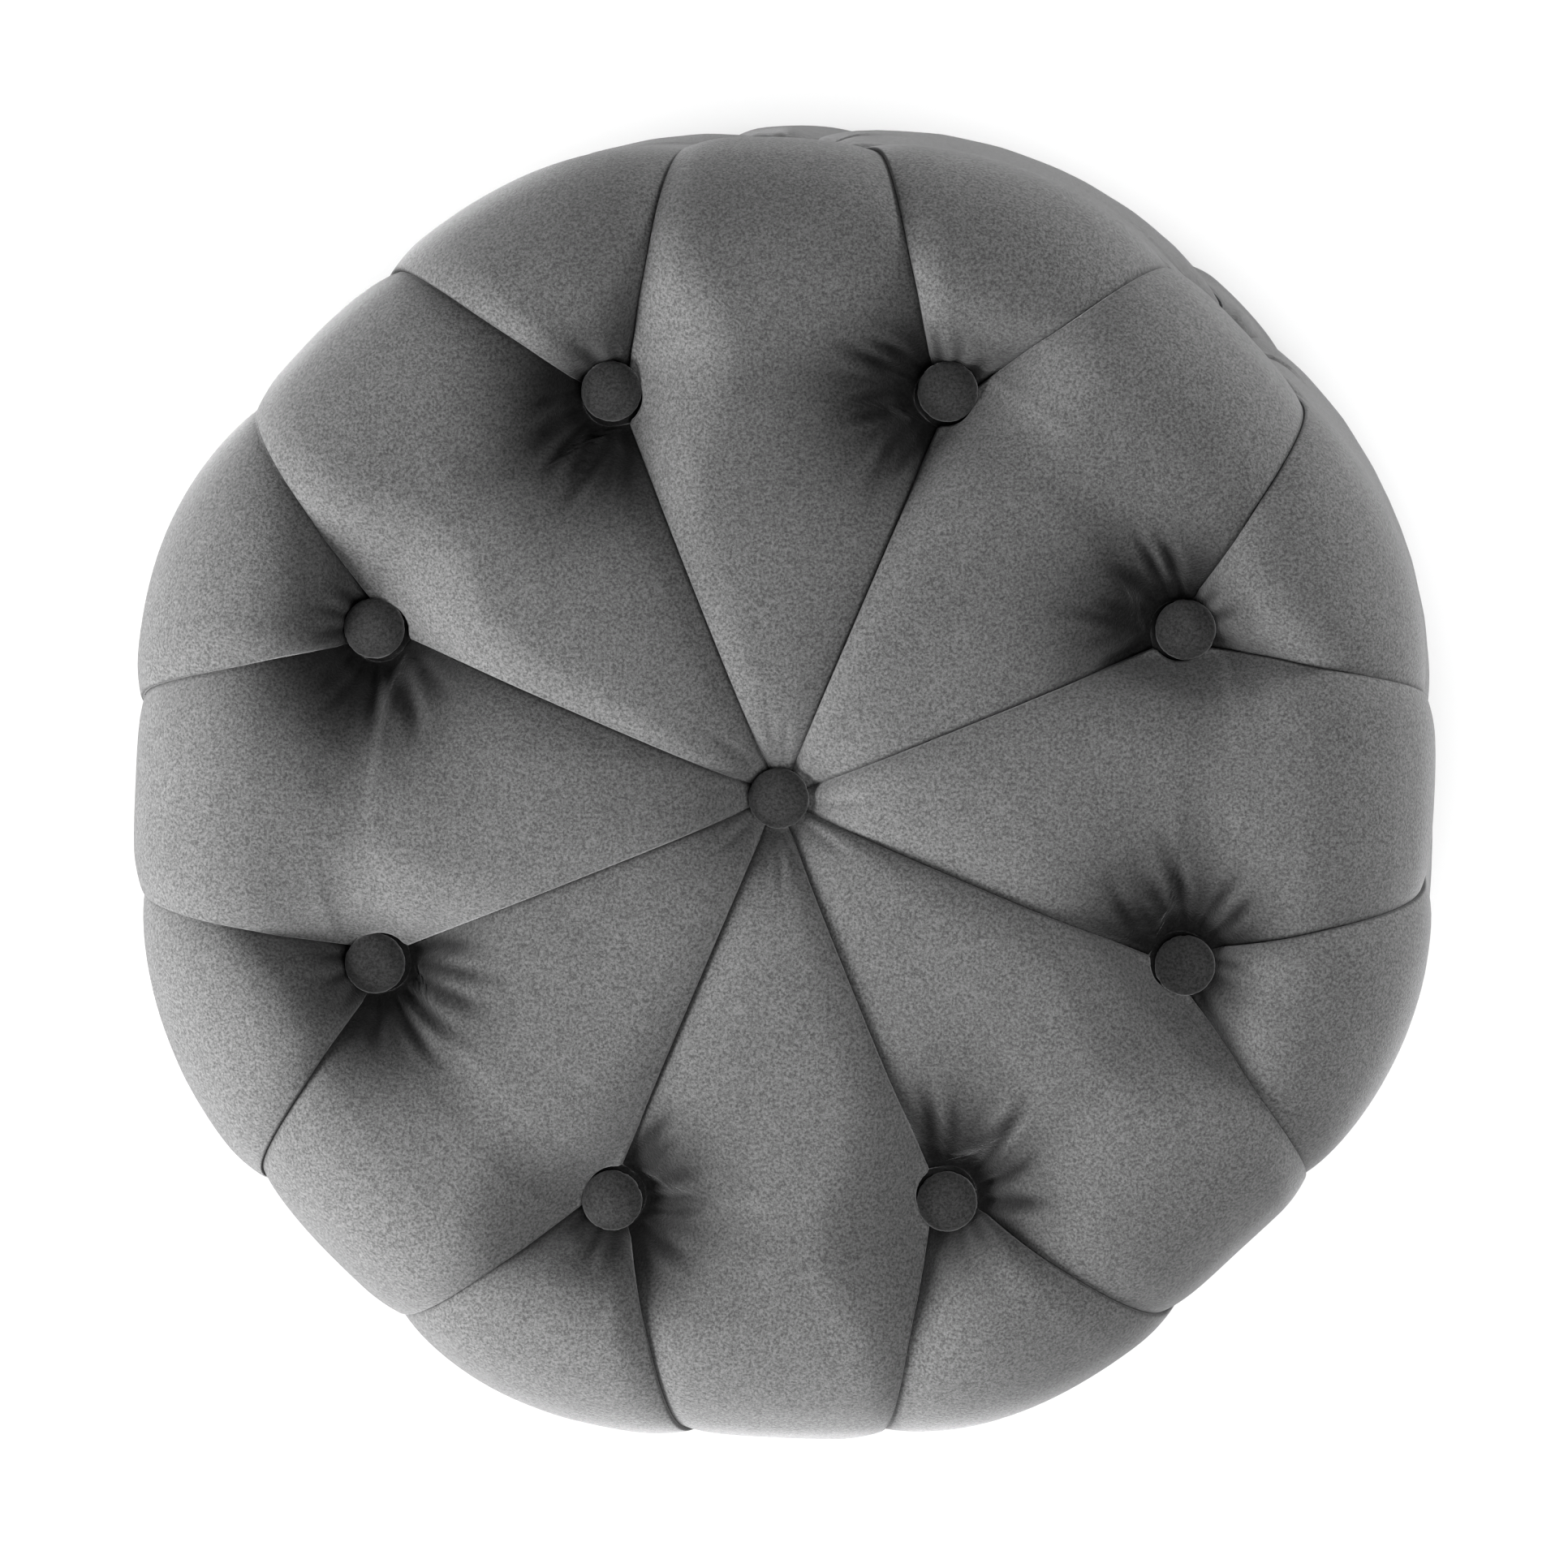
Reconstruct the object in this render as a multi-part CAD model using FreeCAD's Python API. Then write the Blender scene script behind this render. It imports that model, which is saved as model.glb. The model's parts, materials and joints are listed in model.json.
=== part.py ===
import FreeCAD, Part

import math
import os

# A round, button-tufted storage ottoman: an upholstered drum with a lift-off tufted lid.
# Frame: origin on the floor at the middle, +Z up, +Y to the back, +X to the right. Millimetres.

# Driving dimensions
SEAT_HEIGHT = 430.0
LID_RADIUS = 280.0
DRUM_RADIUS = 280.0
DRUM_TOP = 280.0
FOOT_HEIGHT = 22.0
TUFTS = 8
RING_BUTTON_RADIUS = 184.0
BUTTON_DIAMETER = 25.4
WELL_RADIUS = 226.0

# Sheet and padding thicknesses
VELVET = 2.0
SIDE_BATTING = 4.0
LID_BATTING = 5.0
DUST_COVER = 0.8
LINING = 1.5
LID_LINING = 1.0
BASE_PLY = 12.0
HOOP_PLY = 18.0
LID_PLY = 12.0
RING_PLY = 12.0
WALL_PANEL = 3.0
WELL_FLOOR = 3.0

# Gaps
REST_GAP = 0.3
FIT_GAP = 0.2
SCREW_GAP = 0.05

# Drum levels, from the floor up
VELVET_BOTTOM = FOOT_HEIGHT + DUST_COVER
BASE_BOTTOM = VELVET_BOTTOM + VELVET
BASE_TOP = BASE_BOTTOM + BASE_PLY
HOOP_TOP = DRUM_TOP - VELVET
HOOP_BOTTOM = HOOP_TOP - HOOP_PLY

# Drum radii, from the well out
FRAME_INNER = WELL_RADIUS + LINING + 0.5
PANEL_INNER = 246.0
PANEL_OUTER = PANEL_INNER + WALL_PANEL
HOOP_FLANGE = FRAME_INNER + 3.0
UNDER_FLANGE = 222.0

# Outline of the drum's velvet: a soft roll at each end and a slight belly between them
DRUM_ROLL_CENTRE = 264.0
DRUM_TOP_ROLL = 12.0
DRUM_BOTTOM_ROLL = 14.0
DRUM_BELLY_Z = 130.0

# Lid levels
LID_BOTTOM = DRUM_TOP + REST_GAP
BOARD_BOTTOM = LID_BOTTOM + VELVET
BOARD_TOP = BOARD_BOTTOM + LID_PLY
FIRM_FOAM_TOP = BOARD_TOP + 46.0
LOCATOR_BOTTOM = BOARD_BOTTOM - RING_PLY
LOCATOR_OUTER = 221.5
LOCATOR_INNER = 205.0

# Lid radii
BOARD_RADIUS = 259.0
LID_UNDER_FLANGE = 224.0

# Outline of the lid's velvet: crown, shoulder, side and bottom roll
SHOULDER_Z = 350.0
SHOULDER_RADIUS = 68.0
SHOULDER_START = math.radians(6.0)
LID_SIDE_RADIUS = 274.0
LID_SIDE_BOW = 1.5
LID_ROLL = 14.0

# Tufting: how deep each button is pulled below the outline, and the dimple's mouth
CENTRE_DEPTH = 32.0
RING_DEPTH = 36.0
CROWN_DROP = 6.0
SIDE_DEPTH = 23.0
SIDE_BUTTON_Z = 205.0
SIDE_BELLY_DROP = 1.0
DIMPLE_FLOOR_RADIUS = 14.5
DIMPLE_OVERRUN = 6.0
TOP_DIMPLE_MOUTH = 48.0
SIDE_DIMPLE_MOUTH = 34.0

# Covered buttons, their backs, loops and twine
BUTTON_RADIUS = BUTTON_DIAMETER / 2.0
BUTTON_HEIGHT = 9.0
BUTTON_DOME_RADIUS = 1.45 * BUTTON_RADIUS
BUTTON_EDGE = 1.2
BACK_RADIUS = 10.0
BACK_THICKNESS = 1.2
BACK_GAP = 0.1
LOOP_RADIUS = 2.6
LOOP_WIRE = 0.7
SHANK_HOLE = 4.2
SHANK_DEPTH = 7.5
SIDE_TWINE_REACH = 14.0
TWINE_RADIUS = 0.9
TWINE_HOLE = 1.6
KNOT_RADIUS = 2.4
KNOT_STEP = 0.9 * KNOT_RADIUS
WASHER_RADIUS = 10.0
WASHER_THICKNESS = 2.0

# Feet
FEET = 4
FOOT_CIRCLE = 192.0
FOOT_TOP_RADIUS = 25.0
FOOT_BOTTOM_RADIUS = 21.0
FOOT_EDGE = 2.0
FOOT_ANGLE = 45.0
FOOT_RECESS_RADIUS = 6.0
FOOT_RECESS_DEPTH = 12.0

# Uprights
UPRIGHTS = 8
UPRIGHT_DEPTH = 16.5
UPRIGHT_WIDTH = 44.0

# Butt joint of the wall panel, and the rim that the dust cover leaves bare
PANEL_JOINT = 1.0
PANEL_JOINT_REACH = 20.0
DUST_COVER_RIM = 8.0

# Wood screws and staples
SCREW_RADIUS = 2.0
SCREW_HEAD_RADIUS = 4.0
SCREW_HEAD = 2.4
SCREW_NECK_RADIUS = 2.6
SCREW_SLOT = 1.0
SCREW_OVERLAP = 0.2
SCREW_BITE = 22.0
LOCATOR_SCREWS = 6
LOCATOR_SCREW_ANGLE = 10.0
LOCATOR_HOLE_DEPTH = LID_PLY - 2.0
STAPLES = 32
STAPLE_CIRCLE = 228.0
STAPLE_CROWN = 10.0
STAPLE_WIRE = 0.7
STAPLE_LEG = 6.0
STAPLE_ANGLE = 2.0

UP = FreeCAD.Vector(0, 0, 1)
AXIS_POINT = FreeCAD.Vector(0, 0, 0)


def cylinder(radius, low, high):
    """A disc or drum about the ottoman's axis, between two levels."""
    return Part.makeCylinder(radius, high - low, FreeCAD.Vector(0, 0, low), UP)


def ring(inner, outer, low, high):
    """A hoop about the ottoman's axis."""
    return cylinder(outer, low, high).cut(cylinder(inner, low - 1.0, high + 1.0))


def polar(radius, angle, height):
    """A point at a radius and an angle in degrees about the ottoman's axis."""
    turn = math.radians(angle)
    return FreeCAD.Vector(radius * math.cos(turn), radius * math.sin(turn), height)


def outward(angle):
    """The level direction that points away from the axis at an angle in degrees."""
    return polar(1.0, angle, 0.0)


def rod(start, direction, radius, length):
    """A cylinder from a point along a direction."""
    return Part.makeCylinder(radius, length, start, direction)


def section_point(radius, height):
    """A point of a half section, which lies in the XZ plane."""
    return FreeCAD.Vector(radius, 0, height)


def spin(edges):
    """Turn a closed half section about the ottoman's axis."""
    face = Part.Face(Part.Wire(edges))
    return face.revolve(AXIS_POINT, UP, 360.0)


def arc(first, middle, last):
    return Part.Arc(first, middle, last).toShape()


def arc_about(centre, radius, first_angle, last_angle):
    """An arc of the half section about a centre, with angles in radians from the +X side."""
    points = []
    for angle in (first_angle, (first_angle + last_angle) / 2.0, last_angle):
        across = radius * math.cos(angle)
        along = radius * math.sin(angle)
        points.append(section_point(centre.x + across, centre.z + along))
    return arc(*points), points[0], points[2]


def together(shapes):
    """Several separate pieces as one group."""
    return Part.makeCompound(shapes)


def angles(count, first=0.0):
    return [first + 360.0 * index / count for index in range(count)]


# ---------------------------------------------------------------- outlines


def drum_outline(inset):
    """The drum's padded outline without its dimples, moved in by a distance."""
    top_centre = section_point(DRUM_ROLL_CENTRE, DRUM_TOP - DRUM_TOP_ROLL)
    bottom_centre = section_point(DRUM_ROLL_CENTRE, VELVET_BOTTOM + DRUM_BOTTOM_ROLL)
    quarter = math.pi / 2.0
    top_roll, top_out, top_in = arc_about(top_centre, DRUM_TOP_ROLL - inset, 0.0, quarter)
    low_roll, low_in, low_out = arc_about(bottom_centre, DRUM_BOTTOM_ROLL - inset, -quarter, 0.0)
    belly = arc(low_out, section_point(DRUM_RADIUS - inset, DRUM_BELLY_Z), top_out)
    axis_low = section_point(0.0, low_in.z)
    axis_high = section_point(0.0, top_in.z)
    return spin(
        [
            Part.makeLine(axis_low, low_in),
            low_roll,
            belly,
            top_roll,
            Part.makeLine(top_in, axis_high),
            Part.makeLine(axis_high, axis_low),
        ]
    )


def lid_outline(inset):
    """The lid's padded outline without its dimples, moved in by a distance."""
    quarter = math.pi / 2.0
    shoulder_centre = section_point(LID_RADIUS - SHOULDER_RADIUS, SHOULDER_Z)
    roll_centre = section_point(LID_SIDE_RADIUS - LID_ROLL, LID_BOTTOM + LID_ROLL)
    roll, roll_in, roll_out = arc_about(roll_centre, LID_ROLL - inset, -quarter, 0.0)
    shoulder, horizon, crown_edge = arc_about(
        shoulder_centre, SHOULDER_RADIUS - inset, 0.0, quarter - SHOULDER_START
    )
    crown_top = section_point(0.0, SEAT_HEIGHT - inset)
    crown_rise = crown_top.z - crown_edge.z
    half_way = section_point(crown_edge.x / 2.0, crown_top.z - crown_rise / 4.0)
    side_middle_r = (horizon.x + roll_out.x) / 2.0 + LID_SIDE_BOW
    side_middle = section_point(side_middle_r, (horizon.z + roll_out.z) / 2.0)
    axis_low = section_point(0.0, roll_in.z)
    return spin(
        [
            Part.makeLine(axis_low, roll_in),
            roll,
            arc(roll_out, side_middle, horizon),
            shoulder,
            arc(crown_edge, half_way, crown_top),
            Part.makeLine(crown_top, axis_low),
        ]
    )


# ---------------------------------------------------------------- button places


def top_button_places():
    """The lid's buttons: name, seat point, direction out, dimple depth and dimple mouth."""
    centre_seat = FreeCAD.Vector(0, 0, SEAT_HEIGHT - CENTRE_DEPTH)
    places = [("centre_button", centre_seat, UP, CENTRE_DEPTH, TOP_DIMPLE_MOUTH)]
    for index, angle in enumerate(angles(TUFTS, 180.0 / TUFTS), start=1):
        seat = polar(RING_BUTTON_RADIUS, angle, SEAT_HEIGHT - CROWN_DROP - RING_DEPTH)
        places.append((f"ring_button_{index}", seat, UP, RING_DEPTH, TOP_DIMPLE_MOUTH))
    return places


def side_button_places():
    """The drum's buttons, in the same form."""
    places = []
    for index, angle in enumerate(angles(TUFTS), start=1):
        seat = polar(DRUM_RADIUS - SIDE_BELLY_DROP - SIDE_DEPTH, angle, SIDE_BUTTON_Z)
        places.append((f"side_button_{index}", seat, outward(angle), SIDE_DEPTH, SIDE_DIMPLE_MOUTH))
    return places


def dimple(seat, direction, depth, mouth, inset):
    """The funnel-shaped hollow that one button pulls into the padding."""
    start = seat - direction * inset
    length = depth + inset + DIMPLE_OVERRUN
    return Part.makeCone(DIMPLE_FLOOR_RADIUS + inset, mouth + inset, length, start, direction)


def dimpled(outline, places, inset):
    """An outline with the hollow of each of its buttons."""
    hollows = [dimple(seat, way, depth, mouth, inset) for _, seat, way, depth, mouth in places]
    return outline.cut(hollows)


def drum_envelope(inset):
    return dimpled(drum_outline(inset), side_button_places(), inset)


def lid_envelope(inset):
    return dimpled(lid_outline(inset), top_button_places(), inset)


def shank_holes(places, reach):
    """Room for each button's loop, and for its twine as far as a reach behind the seat."""
    holes = []
    for _, seat, way, _, _ in places:
        holes.append(rod(seat + way, way * -1.0, SHANK_HOLE, SHANK_DEPTH + 1.0))
        holes.append(rod(seat, way * -1.0, TWINE_HOLE, reach))
    return holes


# ---------------------------------------------------------------- drum pieces


def foot(angle):
    """A low tapered glide with a recess for its screw."""
    place = polar(FOOT_CIRCLE, angle, 0.0)
    body = Part.makeCone(FOOT_BOTTOM_RADIUS, FOOT_TOP_RADIUS, FOOT_HEIGHT, place, UP)
    rim = [edge for edge in body.Edges if edge.BoundBox.ZMax < 0.01 and edge.Closed]
    body = body.makeFillet(FOOT_EDGE, rim)
    recess = rod(place, UP, FOOT_RECESS_RADIUS, FOOT_RECESS_DEPTH)
    hole = rod(place, UP, SCREW_RADIUS + SCREW_GAP, FOOT_HEIGHT)
    return body.cut([recess, hole])


def screw(head_point, way, bite):
    """A wood screw whose head ends at head_point and whose shank runs on along way."""
    face = head_point - way * SCREW_HEAD
    head = Part.makeCone(SCREW_HEAD_RADIUS, SCREW_NECK_RADIUS, SCREW_HEAD, face, way)
    slot = Part.makeBox(2.0 * SCREW_HEAD_RADIUS, SCREW_SLOT, SCREW_SLOT)
    slot.translate(FreeCAD.Vector(-SCREW_HEAD_RADIUS, -SCREW_SLOT / 2.0, -SCREW_SLOT / 2.0))
    slot.translate(face)
    shank = rod(head_point - way * SCREW_OVERLAP, way, SCREW_RADIUS, bite + SCREW_OVERLAP)
    return head.cut(slot).fuse(shank)


def foot_screws():
    screws = []
    for angle in angles(FEET, FOOT_ANGLE):
        point = polar(FOOT_CIRCLE, angle, FOOT_RECESS_DEPTH)
        screws.append(screw(point, UP, SCREW_BITE))
    return together(screws)


def foot_holes(low, high):
    holes = []
    for angle in angles(FEET, FOOT_ANGLE):
        start = polar(FOOT_CIRCLE, angle, low)
        holes.append(rod(start, UP, SCREW_RADIUS + SCREW_GAP, high - low))
    return holes


def upright_angles():
    return angles(UPRIGHTS, 180.0 / UPRIGHTS)


def upright_middle():
    return FRAME_INNER + UPRIGHT_DEPTH / 2.0


def upright(angle):
    """A square post between the base board and the top hoop."""
    post = Part.makeBox(UPRIGHT_DEPTH, UPRIGHT_WIDTH, HOOP_BOTTOM - BASE_TOP)
    post.translate(FreeCAD.Vector(FRAME_INNER, -UPRIGHT_WIDTH / 2.0, BASE_TOP))
    post.rotate(AXIS_POINT, UP, angle)
    reach = SCREW_BITE + SCREW_GAP
    foot_end = rod(polar(upright_middle(), angle, BASE_TOP), UP, SCREW_RADIUS + SCREW_GAP, reach)
    head_end = rod(polar(upright_middle(), angle, HOOP_BOTTOM), UP * -1.0, SCREW_RADIUS + SCREW_GAP, reach)
    return post.cut([foot_end, head_end])


def countersink(point, way, depth):
    """The hole that a countersunk screw needs through a board, from its outer face."""
    wide = SCREW_HEAD_RADIUS + SCREW_GAP
    narrow = SCREW_NECK_RADIUS + SCREW_GAP
    cone = Part.makeCone(wide, narrow, SCREW_HEAD + SCREW_GAP, point, way)
    return cone.fuse(rod(point, way, SCREW_RADIUS + SCREW_GAP, depth))


def base_board():
    board = cylinder(PANEL_INNER, BASE_BOTTOM, BASE_TOP)
    cuts = foot_holes(BASE_BOTTOM, BASE_TOP + 1.0)
    for angle in upright_angles():
        cuts.append(countersink(polar(upright_middle(), angle, BASE_BOTTOM), UP, BASE_PLY))
    return board.cut(cuts)


def top_hoop():
    hoop = ring(FRAME_INNER, PANEL_INNER, HOOP_BOTTOM, HOOP_TOP)
    cuts = []
    for angle in upright_angles():
        cuts.append(countersink(polar(upright_middle(), angle, HOOP_TOP), UP * -1.0, HOOP_PLY))
    return hoop.cut(cuts)


def upright_screws():
    """One screw up through the base board and one down through the top hoop for each upright."""
    screws = []
    base_grip = BASE_PLY - SCREW_HEAD + SCREW_BITE
    hoop_grip = HOOP_PLY - SCREW_HEAD + SCREW_BITE
    for angle in upright_angles():
        low = polar(upright_middle(), angle, BASE_BOTTOM + SCREW_HEAD)
        high = polar(upright_middle(), angle, HOOP_TOP - SCREW_HEAD)
        screws.append(screw(low, UP, base_grip))
        screws.append(screw(high, UP * -1.0, hoop_grip))
    return together(screws)


def wall_panel():
    """A bent sheet round the frame, with a narrow butt joint over one upright."""
    sheet = ring(PANEL_INNER, PANEL_OUTER, BASE_BOTTOM, HOOP_TOP)
    joint = Part.makeBox(PANEL_JOINT, PANEL_JOINT_REACH, HOOP_TOP)
    joint.translate(FreeCAD.Vector(-PANEL_JOINT / 2.0, PANEL_INNER - PANEL_JOINT_REACH / 2.0, 0.0))
    joint.rotate(AXIS_POINT, UP, 180.0 / TUFTS)
    holes = []
    for _, seat, way, _, _ in side_button_places():
        holes.append(rod(seat, way * -1.0, TWINE_HOLE, SIDE_TWINE_REACH))
    return sheet.cut([joint] + holes)


def side_cover():
    """The drum's velvet, turned over the hoop at the top and under the board at the bottom."""
    skin = drum_envelope(0.0).cut(drum_envelope(VELVET))
    mouth = cylinder(HOOP_FLANGE, DRUM_BELLY_Z, DRUM_TOP + 1.0)
    underside = cylinder(UNDER_FLANGE, 0.0, DRUM_BELLY_Z)
    return skin.cut([mouth, underside] + shank_holes(side_button_places(), SIDE_TWINE_REACH))


def drum_core():
    return cylinder(PANEL_OUTER, 0.0, SEAT_HEIGHT)


def side_batting():
    layer = drum_envelope(VELVET).cut(drum_envelope(VELVET + SIDE_BATTING))
    return layer.cut([drum_core()] + shank_holes(side_button_places(), SIDE_TWINE_REACH))


def side_foam():
    layer = drum_envelope(VELVET + SIDE_BATTING)
    return layer.cut([drum_core()] + shank_holes(side_button_places(), SIDE_TWINE_REACH))


def well_wall_lining():
    """The well's lining, turned out over the top hoop's inner edge."""
    wall = ring(WELL_RADIUS, WELL_RADIUS + LINING, BASE_TOP, HOOP_TOP)
    turned_edge = ring(WELL_RADIUS, HOOP_FLANGE - 0.1, HOOP_TOP, HOOP_TOP + LINING)
    return wall.fuse(turned_edge).removeSplitter()


def well_floor():
    return cylinder(WELL_RADIUS - FIT_GAP, BASE_TOP, BASE_TOP + WELL_FLOOR)


def dust_cover():
    sheet = cylinder(PANEL_INNER - DUST_COVER_RIM, FOOT_HEIGHT, VELVET_BOTTOM)
    return sheet.cut(foot_holes(FOOT_HEIGHT - 1.0, VELVET_BOTTOM + 1.0))


def staple(angle):
    """A staple set along the rim, with its crown under the dust cover."""
    crown = Part.makeBox(STAPLE_WIRE, STAPLE_CROWN, STAPLE_WIRE)
    crown.translate(FreeCAD.Vector(0, 0, -STAPLE_WIRE))
    first_leg = Part.makeBox(STAPLE_WIRE, STAPLE_WIRE, STAPLE_LEG)
    last_leg = first_leg.copy()
    last_leg.translate(FreeCAD.Vector(0, STAPLE_CROWN - STAPLE_WIRE, 0))
    piece = crown.fuse([first_leg, last_leg]).removeSplitter()
    piece.translate(FreeCAD.Vector(STAPLE_CIRCLE, -STAPLE_CROWN / 2.0, FOOT_HEIGHT))
    piece.rotate(AXIS_POINT, UP, angle)
    return piece


def dust_cover_staples():
    return together([staple(angle) for angle in angles(STAPLES, STAPLE_ANGLE)])


# ---------------------------------------------------------------- lid pieces


def lid_board():
    board = cylinder(BOARD_RADIUS, BOARD_BOTTOM, BOARD_TOP)
    cuts = [rod(seat, way * -1.0, TWINE_HOLE, seat.z) for _, seat, way, _, _ in top_button_places()]
    for angle in locator_screw_angles():
        start = polar(locator_middle(), angle, BOARD_BOTTOM)
        cuts.append(rod(start, UP, SCREW_RADIUS + SCREW_GAP, LOCATOR_HOLE_DEPTH))
    return board.cut(cuts)


def locator_middle():
    return (LOCATOR_INNER + LOCATOR_OUTER) / 2.0


def locator_screw_angles():
    return angles(LOCATOR_SCREWS, LOCATOR_SCREW_ANGLE)


def locating_ring():
    """The ring under the lid that drops into the well and keeps the lid in place."""
    hoop = ring(LOCATOR_INNER, LOCATOR_OUTER, LOCATOR_BOTTOM, BOARD_BOTTOM)
    cuts = []
    for angle in locator_screw_angles():
        cuts.append(countersink(polar(locator_middle(), angle, LOCATOR_BOTTOM), UP, RING_PLY))
    return hoop.cut(cuts)


def locating_ring_screws():
    screws = []
    grip = RING_PLY - SCREW_HEAD + LOCATOR_HOLE_DEPTH - 1.0
    for angle in locator_screw_angles():
        point = polar(locator_middle(), angle, LOCATOR_BOTTOM + SCREW_HEAD)
        screws.append(screw(point, UP, grip))
    return together(screws)


def lid_lining():
    """Fabric stretched over the locating ring and up its outer side."""
    low = LOCATOR_BOTTOM - LID_LINING
    sheet = cylinder(LOCATOR_OUTER + LID_LINING, low, LOCATOR_BOTTOM)
    skirt = ring(LOCATOR_OUTER, LOCATOR_OUTER + LID_LINING, LOCATOR_BOTTOM, BOARD_BOTTOM)
    return sheet.fuse(skirt).removeSplitter()


def lid_cover():
    """The lid's velvet, turned under the board's edge."""
    skin = lid_envelope(0.0).cut(lid_envelope(VELVET))
    opening = cylinder(LID_UNDER_FLANGE, 0.0, BOARD_TOP)
    return skin.cut([opening] + shank_holes(top_button_places(), SHANK_DEPTH))


def lid_padding(outer_inset, inner_shape):
    """A layer of the lid's padding above the board, with room for the buttons' twines."""
    layer = lid_envelope(outer_inset).cut(inner_shape)
    return layer.cut(shank_holes(top_button_places(), SEAT_HEIGHT))


def lid_batting():
    board_space = cylinder(BOARD_RADIUS, 0.0, BOARD_TOP)
    return lid_padding(VELVET, lid_envelope(VELVET + LID_BATTING)).cut(board_space)


def lid_soft_foam():
    return lid_padding(VELVET + LID_BATTING, cylinder(LID_RADIUS, 0.0, FIRM_FOAM_TOP))


def lid_firm_foam():
    """The dense slab between the board and the soft foam."""
    below = cylinder(LID_RADIUS, 0.0, BOARD_TOP)
    above = cylinder(LID_RADIUS, FIRM_FOAM_TOP, SEAT_HEIGHT)
    return lid_padding(VELVET + LID_BATTING, [below, above])


def covered_button(seat, way):
    """A domed, fabric-covered button with a recess for its back."""
    dome = Part.makeSphere(BUTTON_DOME_RADIUS)
    dome.translate(FreeCAD.Vector(0, 0, BUTTON_HEIGHT - BUTTON_DOME_RADIUS))
    drum = Part.makeCylinder(BUTTON_RADIUS, BUTTON_HEIGHT)
    body = drum.common(dome)
    rim = [edge for edge in body.Edges if edge.Closed and abs(edge.BoundBox.ZMax) < 0.01]
    body = body.makeFillet(BUTTON_EDGE, rim)
    body = body.cut(Part.makeCylinder(BACK_RADIUS + BACK_GAP, BACK_THICKNESS + BACK_GAP))
    body.Placement = FreeCAD.Placement(seat + way * REST_GAP, FreeCAD.Rotation(UP, way))
    return body


def button_back(seat, way):
    """The metal back plate of a button, with its wire loop."""
    plate = Part.makeCylinder(BACK_RADIUS, BACK_THICKNESS)
    loop = Part.makeTorus(LOOP_RADIUS, LOOP_WIRE)
    loop.rotate(AXIS_POINT, FreeCAD.Vector(1, 0, 0), 90.0)
    loop.translate(FreeCAD.Vector(0, 0, -LOOP_RADIUS))
    piece = plate.fuse(loop)
    piece.Placement = FreeCAD.Placement(seat + way * REST_GAP, FreeCAD.Rotation(UP, way))
    return piece


def twine(seat, way, backing):
    """The twine from a button's loop, through the backing a distance behind its seat, to a knot."""
    start = seat - way * (2.0 * LOOP_RADIUS + LOOP_WIRE)
    length = backing - (2.0 * LOOP_RADIUS + LOOP_WIRE) + WASHER_THICKNESS
    line = rod(start, way * -1.0, TWINE_RADIUS, length)
    knot = Part.makeSphere(KNOT_RADIUS)
    knot.translate(start - way * (length + KNOT_STEP))
    return line.fuse(knot)


def washer(seat, way, backing):
    """The washer that spreads the twine's pull over the far face of the board or panel."""
    face = seat - way * backing
    disc = rod(face, way * -1.0, WASHER_RADIUS, WASHER_THICKNESS)
    return disc.cut(rod(face + way, way * -1.0, TWINE_RADIUS + FIT_GAP, WASHER_THICKNESS + 2.0))


def top_backing(seat):
    return seat.z - BOARD_BOTTOM


def side_backing(seat):
    """The washer is flat, so its middle stands off the bent panel's inner face."""
    chord = math.sqrt(PANEL_INNER**2 - WASHER_RADIUS**2)
    return math.hypot(seat.x, seat.y) - chord


def button_hardware(places, backing_of):
    """The backs, twines and washers of one set of buttons, each as a group."""
    seats = [(seat, way, backing_of(seat)) for _, seat, way, _, _ in places]
    backs = together([button_back(seat, way) for seat, way, _ in seats])
    twines = together([twine(seat, way, backing) for seat, way, backing in seats])
    washers = together([washer(seat, way, backing) for seat, way, backing in seats])
    return backs, twines, washers


# ---------------------------------------------------------------- all nodes


def numbered(name, shapes):
    return {f"{name}_{index}": shape for index, shape in enumerate(shapes, start=1)}


def all_nodes():
    nodes = {}
    nodes.update(numbered("foot", [foot(angle) for angle in angles(FEET, FOOT_ANGLE)]))
    nodes["foot_screws"] = foot_screws()
    nodes["dust_cover"] = dust_cover()
    nodes["dust_cover_staples"] = dust_cover_staples()
    nodes["base_board"] = base_board()
    nodes.update(numbered("upright", [upright(angle) for angle in upright_angles()]))
    nodes["upright_screws"] = upright_screws()
    nodes["top_hoop"] = top_hoop()
    nodes["wall_panel"] = wall_panel()
    nodes["side_foam"] = side_foam()
    nodes["side_batting"] = side_batting()
    nodes["side_cover"] = side_cover()
    nodes["well_wall_lining"] = well_wall_lining()
    nodes["well_floor"] = well_floor()
    nodes["lid_board"] = lid_board()
    nodes["locating_ring"] = locating_ring()
    nodes["locating_ring_screws"] = locating_ring_screws()
    nodes["lid_lining"] = lid_lining()
    nodes["lid_firm_foam"] = lid_firm_foam()
    nodes["lid_soft_foam"] = lid_soft_foam()
    nodes["lid_batting"] = lid_batting()
    nodes["lid_cover"] = lid_cover()
    for name, seat, way, _, _ in top_button_places() + side_button_places():
        nodes[name] = covered_button(seat, way)
    for row, places, backing_of in (
        ("top", top_button_places(), top_backing),
        ("side", side_button_places(), side_backing),
    ):
        backs, twines, washers = button_hardware(places, backing_of)
        nodes[f"{row}_button_backs"] = backs
        nodes[f"{row}_button_twines"] = twines
        nodes[f"{row}_twine_washers"] = washers
    return nodes


def main():
    os.makedirs("parts", exist_ok=True)
    for name, shape in all_nodes().items():
        solids = len(shape.Solids)
        print(f"{name:24s} solids {solids:3d} valid {shape.isValid()} volume {shape.Volume:12.1f}")
        shape.exportStep(os.path.join("parts", f"{name}.step"))


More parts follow.
